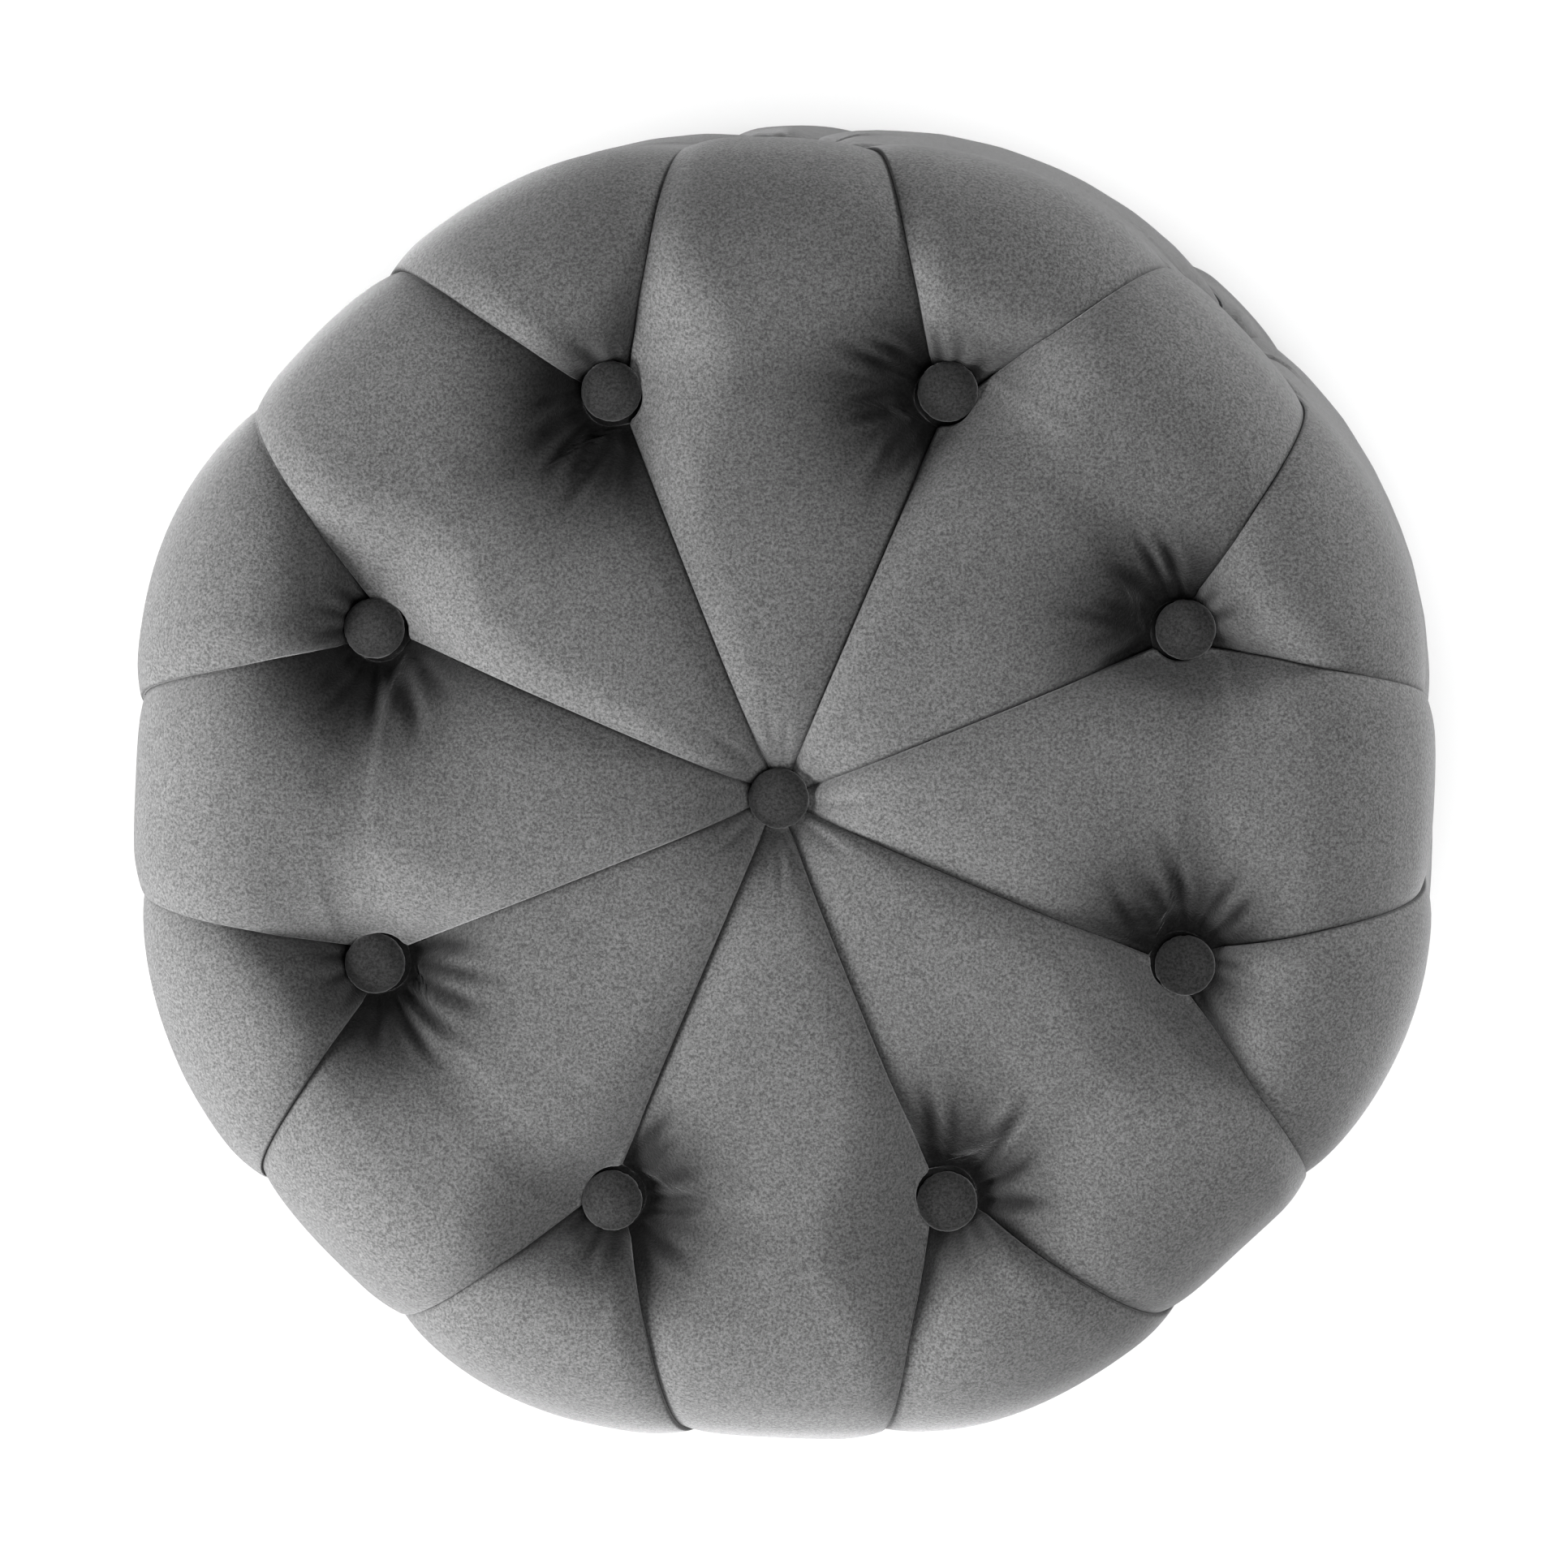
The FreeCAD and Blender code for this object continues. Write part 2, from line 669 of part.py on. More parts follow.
main()
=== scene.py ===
import json
import math

import bmesh
import bpy
import numpy as np
from mathutils import Matrix, Vector

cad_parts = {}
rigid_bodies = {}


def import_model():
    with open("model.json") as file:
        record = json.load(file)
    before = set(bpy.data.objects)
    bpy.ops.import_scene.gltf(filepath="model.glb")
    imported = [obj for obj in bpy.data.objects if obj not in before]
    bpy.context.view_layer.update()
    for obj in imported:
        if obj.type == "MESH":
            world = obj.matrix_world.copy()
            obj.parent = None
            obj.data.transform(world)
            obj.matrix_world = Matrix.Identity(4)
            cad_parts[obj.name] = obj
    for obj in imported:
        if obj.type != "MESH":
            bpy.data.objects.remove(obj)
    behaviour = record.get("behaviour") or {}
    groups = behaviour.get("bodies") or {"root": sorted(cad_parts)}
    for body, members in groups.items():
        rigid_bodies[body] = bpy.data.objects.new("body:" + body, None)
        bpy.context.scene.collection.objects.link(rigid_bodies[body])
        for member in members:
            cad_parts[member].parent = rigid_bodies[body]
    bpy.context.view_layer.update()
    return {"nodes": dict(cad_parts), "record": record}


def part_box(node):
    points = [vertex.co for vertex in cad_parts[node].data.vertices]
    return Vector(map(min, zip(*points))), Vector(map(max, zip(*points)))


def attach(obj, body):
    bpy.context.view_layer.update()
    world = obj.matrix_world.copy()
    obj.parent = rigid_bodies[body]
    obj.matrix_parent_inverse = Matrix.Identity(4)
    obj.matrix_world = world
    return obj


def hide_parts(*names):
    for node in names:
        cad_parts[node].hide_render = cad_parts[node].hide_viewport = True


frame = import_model()

# Shapes are worked out in millimetres and turned into metres when a mesh is made.
MM = 0.001
TINY = 1e-6
TUFTS = 8
STEP = 2 * math.pi / TUFTS


def box_mm(node):
    low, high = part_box(node)
    return np.array(low) / MM, np.array(high) / MM


# ---- places read from the frame

lid_low, lid_high = box_mm("lid_cover")
drum_low, drum_high = box_mm("side_cover")
ring_low, ring_high = box_mm("ring_button_1")
centre_low, centre_high = box_mm("centre_button")
side_low, side_high = box_mm("side_button_1")
board_low, board_high = box_mm("lid_board")
firm_high = box_mm("lid_firm_foam")[1]
panel_high = box_mm("wall_panel")[1]
floor_low, floor_high = box_mm("well_floor")
well_high = box_mm("well_wall_lining")[1]
under_low, under_high = box_mm("lid_lining")
dust_low, dust_high = box_mm("dust_cover")

SEAT_TOP = lid_high[2]
LID_BOTTOM = lid_low[2]
LID_RADIUS = lid_high[0]
DRUM_TOP = drum_high[2]
DRUM_BOTTOM = drum_low[2]
DRUM_RADIUS = drum_high[0]
ring_middle = (ring_low + ring_high) / 2
RING_RADIUS = math.hypot(ring_middle[0], ring_middle[1])
BUTTON_RADIUS = (centre_high[0] - centre_low[0]) / 2
BUTTON_HEIGHT = centre_high[2] - centre_low[2]
RIM = BUTTON_RADIUS + 0.2
CENTRE_SEAT = centre_low[2]
RING_SEAT = ring_low[2]
SIDE_SEAT = side_low[0]
SIDE_BUTTON_Z = (side_low[2] + side_high[2]) / 2
PANEL_OUTER = panel_high[0]


# ---- small helpers


def bell(distance, width):
    return np.exp(-((distance / width) ** 2))


def fade(distance, length, power=1.0):
    return np.exp(-((np.maximum(distance, 0.0) / length) ** power))


def smooth_step(value, low, high):
    part = np.clip((value - low) / (high - low), 0.0, 1.0)
    return part * part * (3 - 2 * part)


def hump(value, rise, level, drop, end, fall=1.0):
    """From nought up to one between two values, and down by a share between two later ones."""
    return smooth_step(value, rise, level) * (1 - fall * smooth_step(value, drop, end))


def half_turn(angle):
    """An angle brought to between half a turn back and half a turn on."""
    return (angle + np.pi) % (2 * np.pi) - np.pi


def blend_depths(*depths):
    """Several hollows as one, as deep as the deepest, with a soft change between them."""
    power = 2.6
    return sum(np.maximum(depth, 0.0) ** power for depth in depths) ** (1 / power)


def ease_off(depth, limit):
    """A depth that levels off half a millimetre past a limit, where a button holds the cover."""
    margin = 4.5
    past = np.maximum(depth - (limit - margin + 0.5), 0.0)
    return depth - past + margin * (1 - np.exp(-past / margin))


def soft_clip(value, limit):
    return limit * np.tanh(value / limit)


def step_lengths(points):
    """The distances from each point of a run to the next."""
    return np.linalg.norm(np.diff(points, axis=0), axis=1)


def turned(radius, angle, height):
    """Points at a radius, at an angle round the axis and at a height."""
    return np.stack(np.broadcast_arrays(radius * np.cos(angle), radius * np.sin(angle), height), axis=-1)


def arc_run(centre, radius, first, last, count=60):
    turn = np.linspace(first, last, count)
    return np.stack([centre[0] + radius * np.cos(turn), centre[1] + radius * np.sin(turn)], axis=1)


def line_run(first, last, count=30):
    return np.linspace(first, last, count)


def bow_run(first, last, bulge, count=60):
    """A shallow bow between two points, that stands out by a bulge in the middle."""
    part = np.linspace(0.0, 1.0, count)[:, None]
    points = np.array(first) * (1 - part) + np.array(last) * part
    chord = np.array(last) - np.array(first)
    side = np.array([-chord[1], chord[0]]) / np.linalg.norm(chord)
    return points + side * (4 * bulge * part * (1 - part))


def rows_between(stops):
    """Row places from (start, spacing) stops, the last of which only ends the run."""
    rows = []
    for (start, spacing), (end, _) in zip(stops[:-1], stops[1:]):
        count = max(int(round((end - start) / spacing)), 1)
        rows.append(np.linspace(start, end, count, endpoint=False))
    return np.r_[np.concatenate(rows), stops[-1][0]]


def thinned(rows, every):
    """Every second or third row, and the last one."""
    return np.r_[rows[:-1:every], rows[-1]]


def column_places(columns):
    """The columns of a narrow panel and of a wide one from 0 to 1, closer near both edges."""
    places = []
    for count, start_weight in zip(columns, (1.4, 0.8)):
        part = np.linspace(0.0, 1.0, 400)
        density = 1.0 + start_weight * np.exp(-part / 0.18) + 2.4 * np.exp(-(1 - part) / 0.06)
        total = np.r_[0.0, np.cumsum((density[1:] + density[:-1]) / 2)]
        places.append(np.interp(np.linspace(0, total[-1], count), total, part))
    return places


# ---- outlines


class Outline:
    """A half section as a run of points, read by the distance along it."""

    def __init__(self, runs):
        points = np.concatenate(runs)
        self.points = points[np.r_[True, step_lengths(points) > TINY]]
        self.along = np.r_[0.0, np.cumsum(step_lengths(self.points))]
        self.length = self.along[-1]
        slopes = np.gradient(self.points, self.along, axis=0)
        slopes /= np.linalg.norm(slopes, axis=1)[:, None]
        self.normals = np.stack([-slopes[:, 1], slopes[:, 0]], axis=1)

    def at(self, s):
        """The radius, the height and the normal's two parts at a distance along."""
        columns = (*self.points.T, *self.normals.T)
        return tuple(np.interp(s, self.along, column) for column in columns)

    def lean(self, first, last):
        """Point the normals straight up before a first distance, and as they are after a last one."""
        self.normals[:, 0] *= smooth_step(self.along, first, last)
        self.normals /= np.linalg.norm(self.normals, axis=1)[:, None]

    def where(self, column, value, first=0.0):
        """The distance along at which the radius (0) or the height (1) first passes a value."""
        above = self.points[:, column] >= value
        passes = (above[:-1] != above[1:]) & (self.along[:-1] >= first)
        return self.along[np.argmax(passes)] if passes.any() else self.length


def lid_outline():
    """The crown, the shoulder, the side, the rolled lower edge and the strip under the board."""
    shoulder = 68.0
    crown_drop = 12.0
    crown_slope = math.radians(6.0)
    crown_bulge = 2.0
    side_bulge = 1.5
    roll = 14.0
    drawn_in = 6.0
    strip_end = 224.0
    centre = (LID_RADIUS - shoulder, SEAT_TOP - shoulder - crown_drop)
    shoulder_run = arc_run(centre, shoulder, math.pi / 2 - crown_slope, 0.0)
    crown = bow_run((0.0, SEAT_TOP), tuple(shoulder_run[0]), crown_bulge)
    roll_centre = (LID_RADIUS - drawn_in - roll, LID_BOTTOM + roll)
    roll_run = arc_run(roll_centre, roll, 0.0, -math.pi / 2)
    side = bow_run(tuple(shoulder_run[-1]), tuple(roll_run[0]), side_bulge)
    under = line_run(tuple(roll_run[-1]), (strip_end, LID_BOTTOM))
    return Outline([crown, shoulder_run, side, roll_run, under])


def drum_outline():
    """The strip over the hoop, the rolled upper edge, the belly, the lower edge and the strip below."""
    top_roll = 12.0
    low_roll = 14.0
    drawn_in = 16.0
    belly_bulge = 3.6
    strip_start = 231.0
    strip_end = 222.0
    edge = DRUM_RADIUS - drawn_in
    over = line_run((strip_start, DRUM_TOP), (edge, DRUM_TOP))
    top_run = arc_run((edge, DRUM_TOP - top_roll), top_roll, math.pi / 2, 0.0)
    low_run = arc_run((edge, DRUM_BOTTOM + low_roll), low_roll, 0.0, -math.pi / 2)
    belly = bow_run(tuple(top_run[-1]), tuple(low_run[0]), belly_bulge)
    under = line_run(tuple(low_run[-1]), (strip_end, DRUM_BOTTOM))
    return Outline([over, top_run, belly, low_run, under])


# ---- tufted covers


class Fan:
    """A fan of small creases that run out from a button."""

    def __init__(self, random, degrees, lengths, depth):
        self.creases = []
        for direction in np.radians(degrees):
            turn = direction + random.normal() * 0.05
            length = random.uniform(*lengths)
            width = random.uniform(1.9, 2.9)
            size = depth * random.uniform(0.6, 1.3)
            bend = random.normal() * 0.004
            self.creases.append((turn, length, width, size, bend))

    def depth(self, across, along):
        """How deep the creases are at a point, each a groove with a low ridge on either side."""
        ridge = 0.45
        widest_turn = 1.2
        reach = np.hypot(across, along)
        turn = np.arctan2(across, along)
        total = np.zeros_like(reach)
        for direction, length, width, size, bend in self.creases:
            off = half_turn(turn - direction - bend * (reach - RIM))
            run = hump(reach, RIM * 0.8, RIM + 5.0, RIM + length * 0.3, RIM + length)
            ratio = off * reach / (width * (0.75 + 0.6 * (reach - RIM).clip(0) / length))
            wave = np.exp(-(ratio**2)) - ridge * np.exp(-((np.abs(ratio) - 2.0) ** 2) / 1.1)
            total = total + size * run * wave * (np.abs(off) < widest_turn)
        return total


class Tufting:
    """Where the pleats run over an outline, and how deep each hollow is.

    Narrow panels are centred at whole steps round the axis and wide ones half way between. The full
    edge of each panel, on its anticlockwise side, laps over the tucked edge of the next. Each kind
    of cover gives the narrow panel's two edges and the wide panel's far edge as angles (edges), how
    far a full edge has rolled down where it meets the next panel (edge_drop), and how far inside
    the outline a point of a panel lies and how much painted shade it gets in the hollows and folds
    (depth).
    """

    def __init__(self, outline, seed):
        self.outline = outline
        self.random = np.random.default_rng(seed)
        self.waves = self.random.normal(size=(TUFTS * 2, 6, 4))
        self.shift = None

    def wander(self, panel, s, part):
        """Slow, small unevenness of one panel's surface, about plus or minus one."""
        total = 0.0
        for along, across, phase, size in self.waves[panel]:
            pace = s * (0.018 + 0.008 * along) + part * (2.5 + 1.5 * across)
            total = total + size * np.sin(pace + 6 * phase)
        return total / 2.5

    def swell(self, index, wide, s, part):
        """The unevenness of a panel, nought at its edges and near the cover's ends."""
        middle = (4 * part * (1 - part)).clip(0, 1)
        return hump(s, *self.swell_stops) * middle * self.wander(index * 2 + int(wide), s, part)

    def lobes(self, s, angle):
        """The wide panels belly out past the narrow ones."""
        amount = self.BULGE * hump(s, *self.bulge_stops)
        return -amount * np.cos(TUFTS * angle) - 0.4 * amount


def rolled_edge(drop, to_edge, roll, width, power):
    """The depth of a panel's full edge, that rolls down towards it."""
    roll = np.minimum(roll, width * 0.6 + TINY)
    return drop * np.clip(1 - to_edge / roll, 0.0, 1.0) ** power


def tucked_edge(depth, from_tuck, reach, width):
    """The depth of a panel beside its tucked edge."""
    return depth * fade(from_tuck, np.minimum(reach, width * 0.45 + TINY), 0.95)


def panel_part(from_tuck, width):
    """How far across a panel a point is, from 0 to 1."""
    return np.where(width > 1.0, from_tuck / np.maximum(width, 1.0), 0.5)


def painted_fold_shade(from_tuck, width):
    """Painted shade in the fold beside a tucked edge."""
    return 0.8 * bell(from_tuck, 1.5) * (width > 3.0)


def rim_offset(away):
    """Half the width of a button's rim at a distance along from its middle."""
    return np.sqrt(np.maximum((RIM + 0.2) ** 2 - away**2, 0.0))


class LidTufting(Tufting):
    """The seat: kites from the centre button past the ring buttons, and triangles outside them."""

    EDGE_HALF_WIDTH = LID_RADIUS * math.radians(8.6)
    RING_PULL = 36.0
    BULGE = 3.6

    def __init__(self, seed):
        super().__init__(lid_outline(), seed)
        self.s_ring = self.outline.where(0, RING_RADIUS)
        self.s_edge = self.outline.where(0, LID_RADIUS - 0.05)
        self.s_bottom = self.outline.where(1, LID_BOTTOM + 0.05, self.s_edge)
        # The buttons are pulled straight down, so the crown's hollows are too.
        self.outline.lean(self.s_ring + 14.0, self.s_ring + 62.0)
        self.centre_depth = SEAT_TOP - CENTRE_SEAT
        self.ring_depth = self.outline.at(self.s_ring)[1] - RING_SEAT
        # Where the full and the tucked edges leave a ring button's rim.
        self.s_hit_over = self.s_ring + 7.2
        self.s_hit_tuck = self.s_ring + 9.1
        self.bulge_stops = (self.s_ring + 25.0, self.s_edge, self.s_bottom - 22.0, self.s_bottom)
        self.swell_stops = (40.0, 90.0, self.s_bottom - 30.0, self.s_bottom - 5.0)
        self.fans = []
        self.apex_fans = []
        self.centre_places = []
        for _ in range(TUFTS):
            self.fans.append(Fan(self.random, (62, 84, 106, 128, 150, 170), (26, 48), 2.7))
            self.apex_fans.append(Fan(self.random, (-26, 4, 28), (12, 24), 1.3))
            self.centre_places.append(self.random.uniform(-0.3, 0.3, size=2))

    def rows(self):
        ring = self.s_ring
        crown = [(2.0, 3.6), (RIM - 2.0, 2.0), (RIM + 34.0, 3.8), (ring - 50.0, 2.4)]
        buttons = [(ring - RIM - 1.0, 1.5), (ring + RIM + 1.0, 2.4), (ring + 50.0, 4.0)]
        side = [(self.s_edge + 40.0, 2.6), (self.s_bottom + 3.0, 9.0), (self.outline.length, 1.0)]
        return rows_between(crown + buttons + side)

    def outer_edge(self, s, radius, start):
        """From the line through a ring button to the narrow panel's edge, past a start on the rim."""
        start_width = self.outline.at(start)[0] * STEP / 2 - rim_offset(start - self.s_ring)
        slope = (start_width - self.EDGE_HALF_WIDTH) / (self.s_edge - start)
        past = np.maximum(s - (self.s_edge - 30.0), 0.0)
        return radius * STEP / 2 - (start_width - slope * (s - start) - 0.0009 * past**2)

    def edges(self, s, radius):
        rim = rim_offset(s - self.s_ring)
        over = np.minimum(-rim, -1.0 - 2.0 * np.clip(s / self.s_ring, 0, 1))
        over = np.where(s > self.s_hit_over, -self.outer_edge(s, radius, self.s_hit_over), over)
        tuck = np.where(s > self.s_ring - RIM, np.maximum(rim, over), over)
        tuck = np.where(s > self.s_hit_tuck, self.outer_edge(s, radius, self.s_hit_tuck), tuck)
        safe = np.maximum(radius, TINY)
        return -STEP / 2 + tuck / safe, STEP / 2 + over / safe, STEP / 2 + tuck / safe

    def edge_drop(self, s, wide):
        inner_drop = 5.4
        outer_ease = 2.8
        middle = inner_drop - outer_ease * smooth_step(s, self.s_ring + 30, self.s_edge)
        middle = middle * (1 - 0.8 * smooth_step(s, self.s_bottom - 12.0, self.s_bottom))
        if wide:
            return middle + (self.ring_depth - 4.0 - middle) * fade(s - self.s_hit_tuck, 15.0, 1.1)
        centre = (self.centre_depth - 5.0 - middle) * fade(s - RIM, 16.0)
        past_rim = np.maximum(np.abs(s - self.s_ring) - 7.0, 0.0)
        ring = (self.ring_depth - 3.5 - middle) * bell(past_rim, self.RING_PULL)
        return middle + centre + ring

    def even_distance(self, s, radius, to_edge):
        """The distance to an even line, which leaves no groove at the button's rim."""
        line = -3.0 - 11.5 * smooth_step(s, self.s_ring - 25.0, self.s_ring + 15.0)
        over = (self.edges(s, radius)[1] - STEP / 2) * radius
        change = np.where(s < self.s_ring + 15.0, line - over, 0.0) * smooth_step(s, 60.0, 110.0)
        return np.maximum(to_edge + change, 0.0)

    def tuck_depth(self, s, wide, near_ring):
        """How deep a panel's tucked edge lies: under the edge that laps over it, by a lip."""
        over_drop = self.edge_drop(s, False)
        if not wide:
            past = smooth_step(s, self.s_ring - 14.0, self.s_ring + 14.0)
            over_drop = over_drop * (1 - past) + self.edge_drop(s, True) * past
        lip = 3.2 - 1.0 * smooth_step(s, self.s_ring + 20, self.s_edge)
        lip = lip * (1 - 0.85 * smooth_step(s, self.s_bottom - 6.0, self.s_bottom + 4.0))
        return over_drop + lip + 2.0 * near_ring

    def depth(self, index, wide, s, angle, from_tuck, to_edge, width, detail):
        near_ring = bell(s - self.s_ring, self.RING_PULL)
        radius = self.outline.at(s)[0]
        if not wide:
            to_edge = self.even_distance(s, radius, to_edge)
        roll = 21.0 + (11.0 if wide else 38.0) * near_ring
        edge = rolled_edge(self.edge_drop(s, wide), to_edge, roll, width, 2.3)
        tuck = tucked_edge(self.tuck_depth(s, wide, near_ring), from_tuck, 15.0 + 9.0 * near_ring, width)
        across = (angle - (index + (0.5 if wide else -0.5)) * STEP) * radius
        along = s - self.s_ring
        reach = np.hypot(across, along)
        dimple = (self.ring_depth - 0.5) * fade(reach - RIM, 14.0 if wide else 23.0, 1.1)
        centre = (self.centre_depth - 1.0) * fade(s - RIM, 19.0)
        limit = np.where(s < self.s_ring / 2, self.centre_depth, self.ring_depth)
        total = ease_off(blend_depths(edge, tuck, dimple, centre), limit)
        part = panel_part(from_tuck, width)
        total = total - self.swell(index, wide, s, part)
        # Painted shade: darker in a ring button's hollow and beside the tucked edge near it.
        painted_shade = np.maximum(dimple, tuck * bell(along, 40.0)) / self.ring_depth
        if not wide:
            # The narrow panel's hollow, closed in by the fold that laps over it, gets more painted shade.
            side = smooth_step(np.arctan2(across, along), -0.5, 0.6)
            painted_shade = painted_shade + 0.75 * side * fade(reach - RIM, 24.0, 1.6)
        painted_shade = painted_shade + painted_fold_shade(from_tuck, width)
        if detail:
            fans = self.apex_fans[index] if wide else self.fans[index]
            creases = fans.depth(across, along) * smooth_step(from_tuck, 0.3, 4.5)
            # The creases get a little painted shade too.
            painted_shade = painted_shade + 0.2 * creases
            if not wide:
                for turn, place in enumerate(self.centre_places[index]):
                    line = (part - 0.5 - place) * np.maximum(width, 1.0)
                    creases = creases + bell(s - (RIM + 10.0 + 5 * turn), 9.0) * bell(line, 1.9)
            total = total + soft_clip(creases, 2.7)
        return total, painted_shade.clip(0, 1) + 0 * total


class DrumTufting(Tufting):
    """The side: narrow upright panels through the side buttons, and wide ones between them."""

    BULGE = 2.2

    def __init__(self, seed):
        super().__init__(drum_outline(), seed)
        self.s_turn = self.outline.where(1, DRUM_TOP - 0.5)
        self.s_button = self.outline.where(1, SIDE_BUTTON_Z)
        self.s_low = self.outline.where(1, DRUM_BOTTOM + 0.05, self.s_button)
        self.button_depth = self.outline.at(self.s_button)[0] - SIDE_SEAT
        self.bulge_stops = (self.s_turn - 6, self.s_turn + 24, self.s_low - 50, self.s_low)
        self.swell_stops = (self.s_turn, self.s_turn + 30, self.s_low - 30.0, self.s_low)
        self.fans = []
        self.over_fans = []
        self.narrow_fans = []
        for _ in range(TUFTS):
            self.fans.append(Fan(self.random, (34, 60, 84, 108, 132, 154), (18, 36), 2.0))
            over_depth = self.random.uniform(0.2, 1.0)
            self.over_fans.append(Fan(self.random, (-118, -72), (12, 24), over_depth))
            self.narrow_fans.append(Fan(self.random, (2, 176), (16, 26), 1.2))

    def rows(self):
        button = self.s_button
        top = [(0.0, 6.0), (self.s_turn - 10.0, 2.6), (button - 44.0, 2.6)]
        buttons = [(button - RIM - 1.0, 1.6), (button + RIM + 1.0, 2.6), (button + 46.0, 5.0)]
        low = [(self.s_low - 30.0, 3.0), (self.s_low + 3.0, 9.0), (self.outline.length, 1.0)]
        return rows_between(top + buttons + low)

    def edges(self, s, radius):
        narrowest = 3.6
        away = s - self.s_button
        top = (self.s_button - RIM) - np.maximum(s, self.s_turn - 8.0)
        above = narrowest + 0.28 * np.maximum(top, 0.0)
        below = narrowest + 0.19 * np.maximum(away - RIM, 0.0)
        line = np.where(away < 0, above, below)
        half = np.maximum(line * (np.abs(away) > RIM - 1.0), rim_offset(away)) / radius
        return -half, half, STEP - half

    def ends(self, s, share):
        """Nought at the start of the strip, one down the side, and less by a share at the bottom."""
        return hump(s, 8.0, self.s_turn, self.s_low - 8.0, self.s_low + 6.0, share)

    def edge_drop(self, s):
        middle = 0.4 + 3.0 * self.ends(s, 0.7)
        near = bell(np.maximum(np.abs(s - self.s_button) - 5.0, 0.0), 24.0)
        return middle + (self.button_depth - 3.5 - middle) * near

    def depth(self, index, wide, s, angle, from_tuck, to_edge, width, detail):
        drop = self.edge_drop(s)
        near = bell(s - self.s_button, 30.0)
        edge = rolled_edge(drop, to_edge, 16.0 + 14.0 * near, width, 2.0)
        lip = 0.3 + 2.2 * self.ends(s, 0.8) + 2.0 * near
        tuck = tucked_edge(drop + lip, from_tuck, 13.0 + 4.0 * near, width)
        radius = self.outline.at(s)[0]
        across = (angle - index * STEP) * radius
        along = self.s_button - s
        reach = np.hypot(across, along)
        dimple = (self.button_depth - 0.3) * fade(reach - RIM, 15.0 if wide else 12.0, 1.05)
        total = ease_off(blend_depths(edge, tuck, dimple), self.button_depth)
        total = total - 1.2 * self.swell(index, wide, s, panel_part(from_tuck, width))
        # Painted shade: darker in a side button's hollow and beside the tucked edge near it.
        painted_shade = np.maximum(dimple, tuck * near) / self.button_depth
        painted_shade = painted_shade + painted_fold_shade(from_tuck, width)
        if detail:
            if wide:
                far_across = (angle - (index + 1) * STEP) * radius
                creases = self.fans[index].depth(across, along)
                creases = creases + self.over_fans[index].depth(far_across, along)
            else:
                creases = self.narrow_fans[index].depth(across, along)
            total = total + soft_clip(creases, 1.5)
            # The creases get a little painted shade too.
            painted_shade = painted_shade + 0.1 * creases
        return total, painted_shade.clip(0, 1) + 0 * total


# The rounded nose of a full edge: each column's turn in degrees, and how much painted shade it gets under
# the nose.
NOSE = ((52, 0.15), (8, 0.65), (-36, 1.0))


def nose_columns(surface, safe, piece, following):
    """The columns that carry a panel's full edge down to the tucked edge of the following panel."""
    angle, depth, painted_shade, width, push = (None if values is None else values[:, -1:] for values in piece)
    gap = np.maximum(following[1][:, :1] - depth, 0.0)
    size = np.minimum(1.4, gap * 0.45) * smooth_step(width, 5.0, 16.0)
    for degrees, painted_nose_shade in NOSE:
        turn = math.radians(degrees)
        sideways = size * (math.cos(turn) - 0.25)
        down = gap * 0.46 * (1 - math.sin(turn)) * (width > 0)
        points = surface(angle + sideways / safe, depth + down, push)
        yield points, np.maximum(painted_shade, painted_nose_shade * (width > 3.0))


def panel_grid(tufting, rows, columns, inset=0.0, fine=True):
    """Rows by columns of points for the whole cover, once round the axis, and the painted shade in its
    hollows and folds.

    The fine grid has the creases and the noses of the full edges too.
    """
    s = rows[:, None]
    radius, height, out, up = tufting.outline.at(s)

    def surface(angle, depth, push):
        rise = tufting.lobes(s, angle) - depth - inset
        points = turned(radius + out * rise, angle, height + up * rise)
        return points if push is None else points + push

    first, last, next_first = tufting.edges(s, radius)
    places = column_places(columns)
    pieces = []
    for order in range(2 * TUFTS):
        index, wide = order // 2, order % 2 == 1
        start, end = (last, next_first) if wide else (first, last)
        start = index * STEP + start
        end = index * STEP + end
        part = places[int(wide)][None, :]
        angle = start + (end - start) * part
        width = (end - start) * radius + 0 * part
        depth, painted_shade = tufting.depth(
            index, wide, s, angle, width * part, width * (1 - part), width, fine
        )
        push = None
        if tufting.shift is not None:
            push = tufting.shift(index, wide, rows, part[0])
        pieces.append((angle, depth, painted_shade, width, push))
    grid = []
    painted_shades = []
    for order, piece in enumerate(pieces):
        angle, depth, painted_shade, width, push = piece
        grid.append(surface(angle, depth, push))
        painted_shades.append(painted_shade)
        if fine:
            following = pieces[(order + 1) % len(pieces)]
            for points, shade in nose_columns(surface, np.maximum(radius, TINY), piece, following):
                grid.append(points)
                painted_shades.append(shade)
    return np.concatenate(grid, axis=1), np.concatenate(painted_shades, axis=1)


# ---- meshes


def numbered(grid, first=0):
    """The number of each point of a grid, in its rows and columns."""
    return np.arange(grid.shape[0] * grid.shape[1]).reshape(grid.shape[:2]) + first


def grid_faces(index):
    following = np.roll(index, -1, axis=1)
    faces = np.stack([index[:-1], index[1:], following[1:], following[:-1]], axis=-1)
    return faces.reshape(-1, 4).tolist()


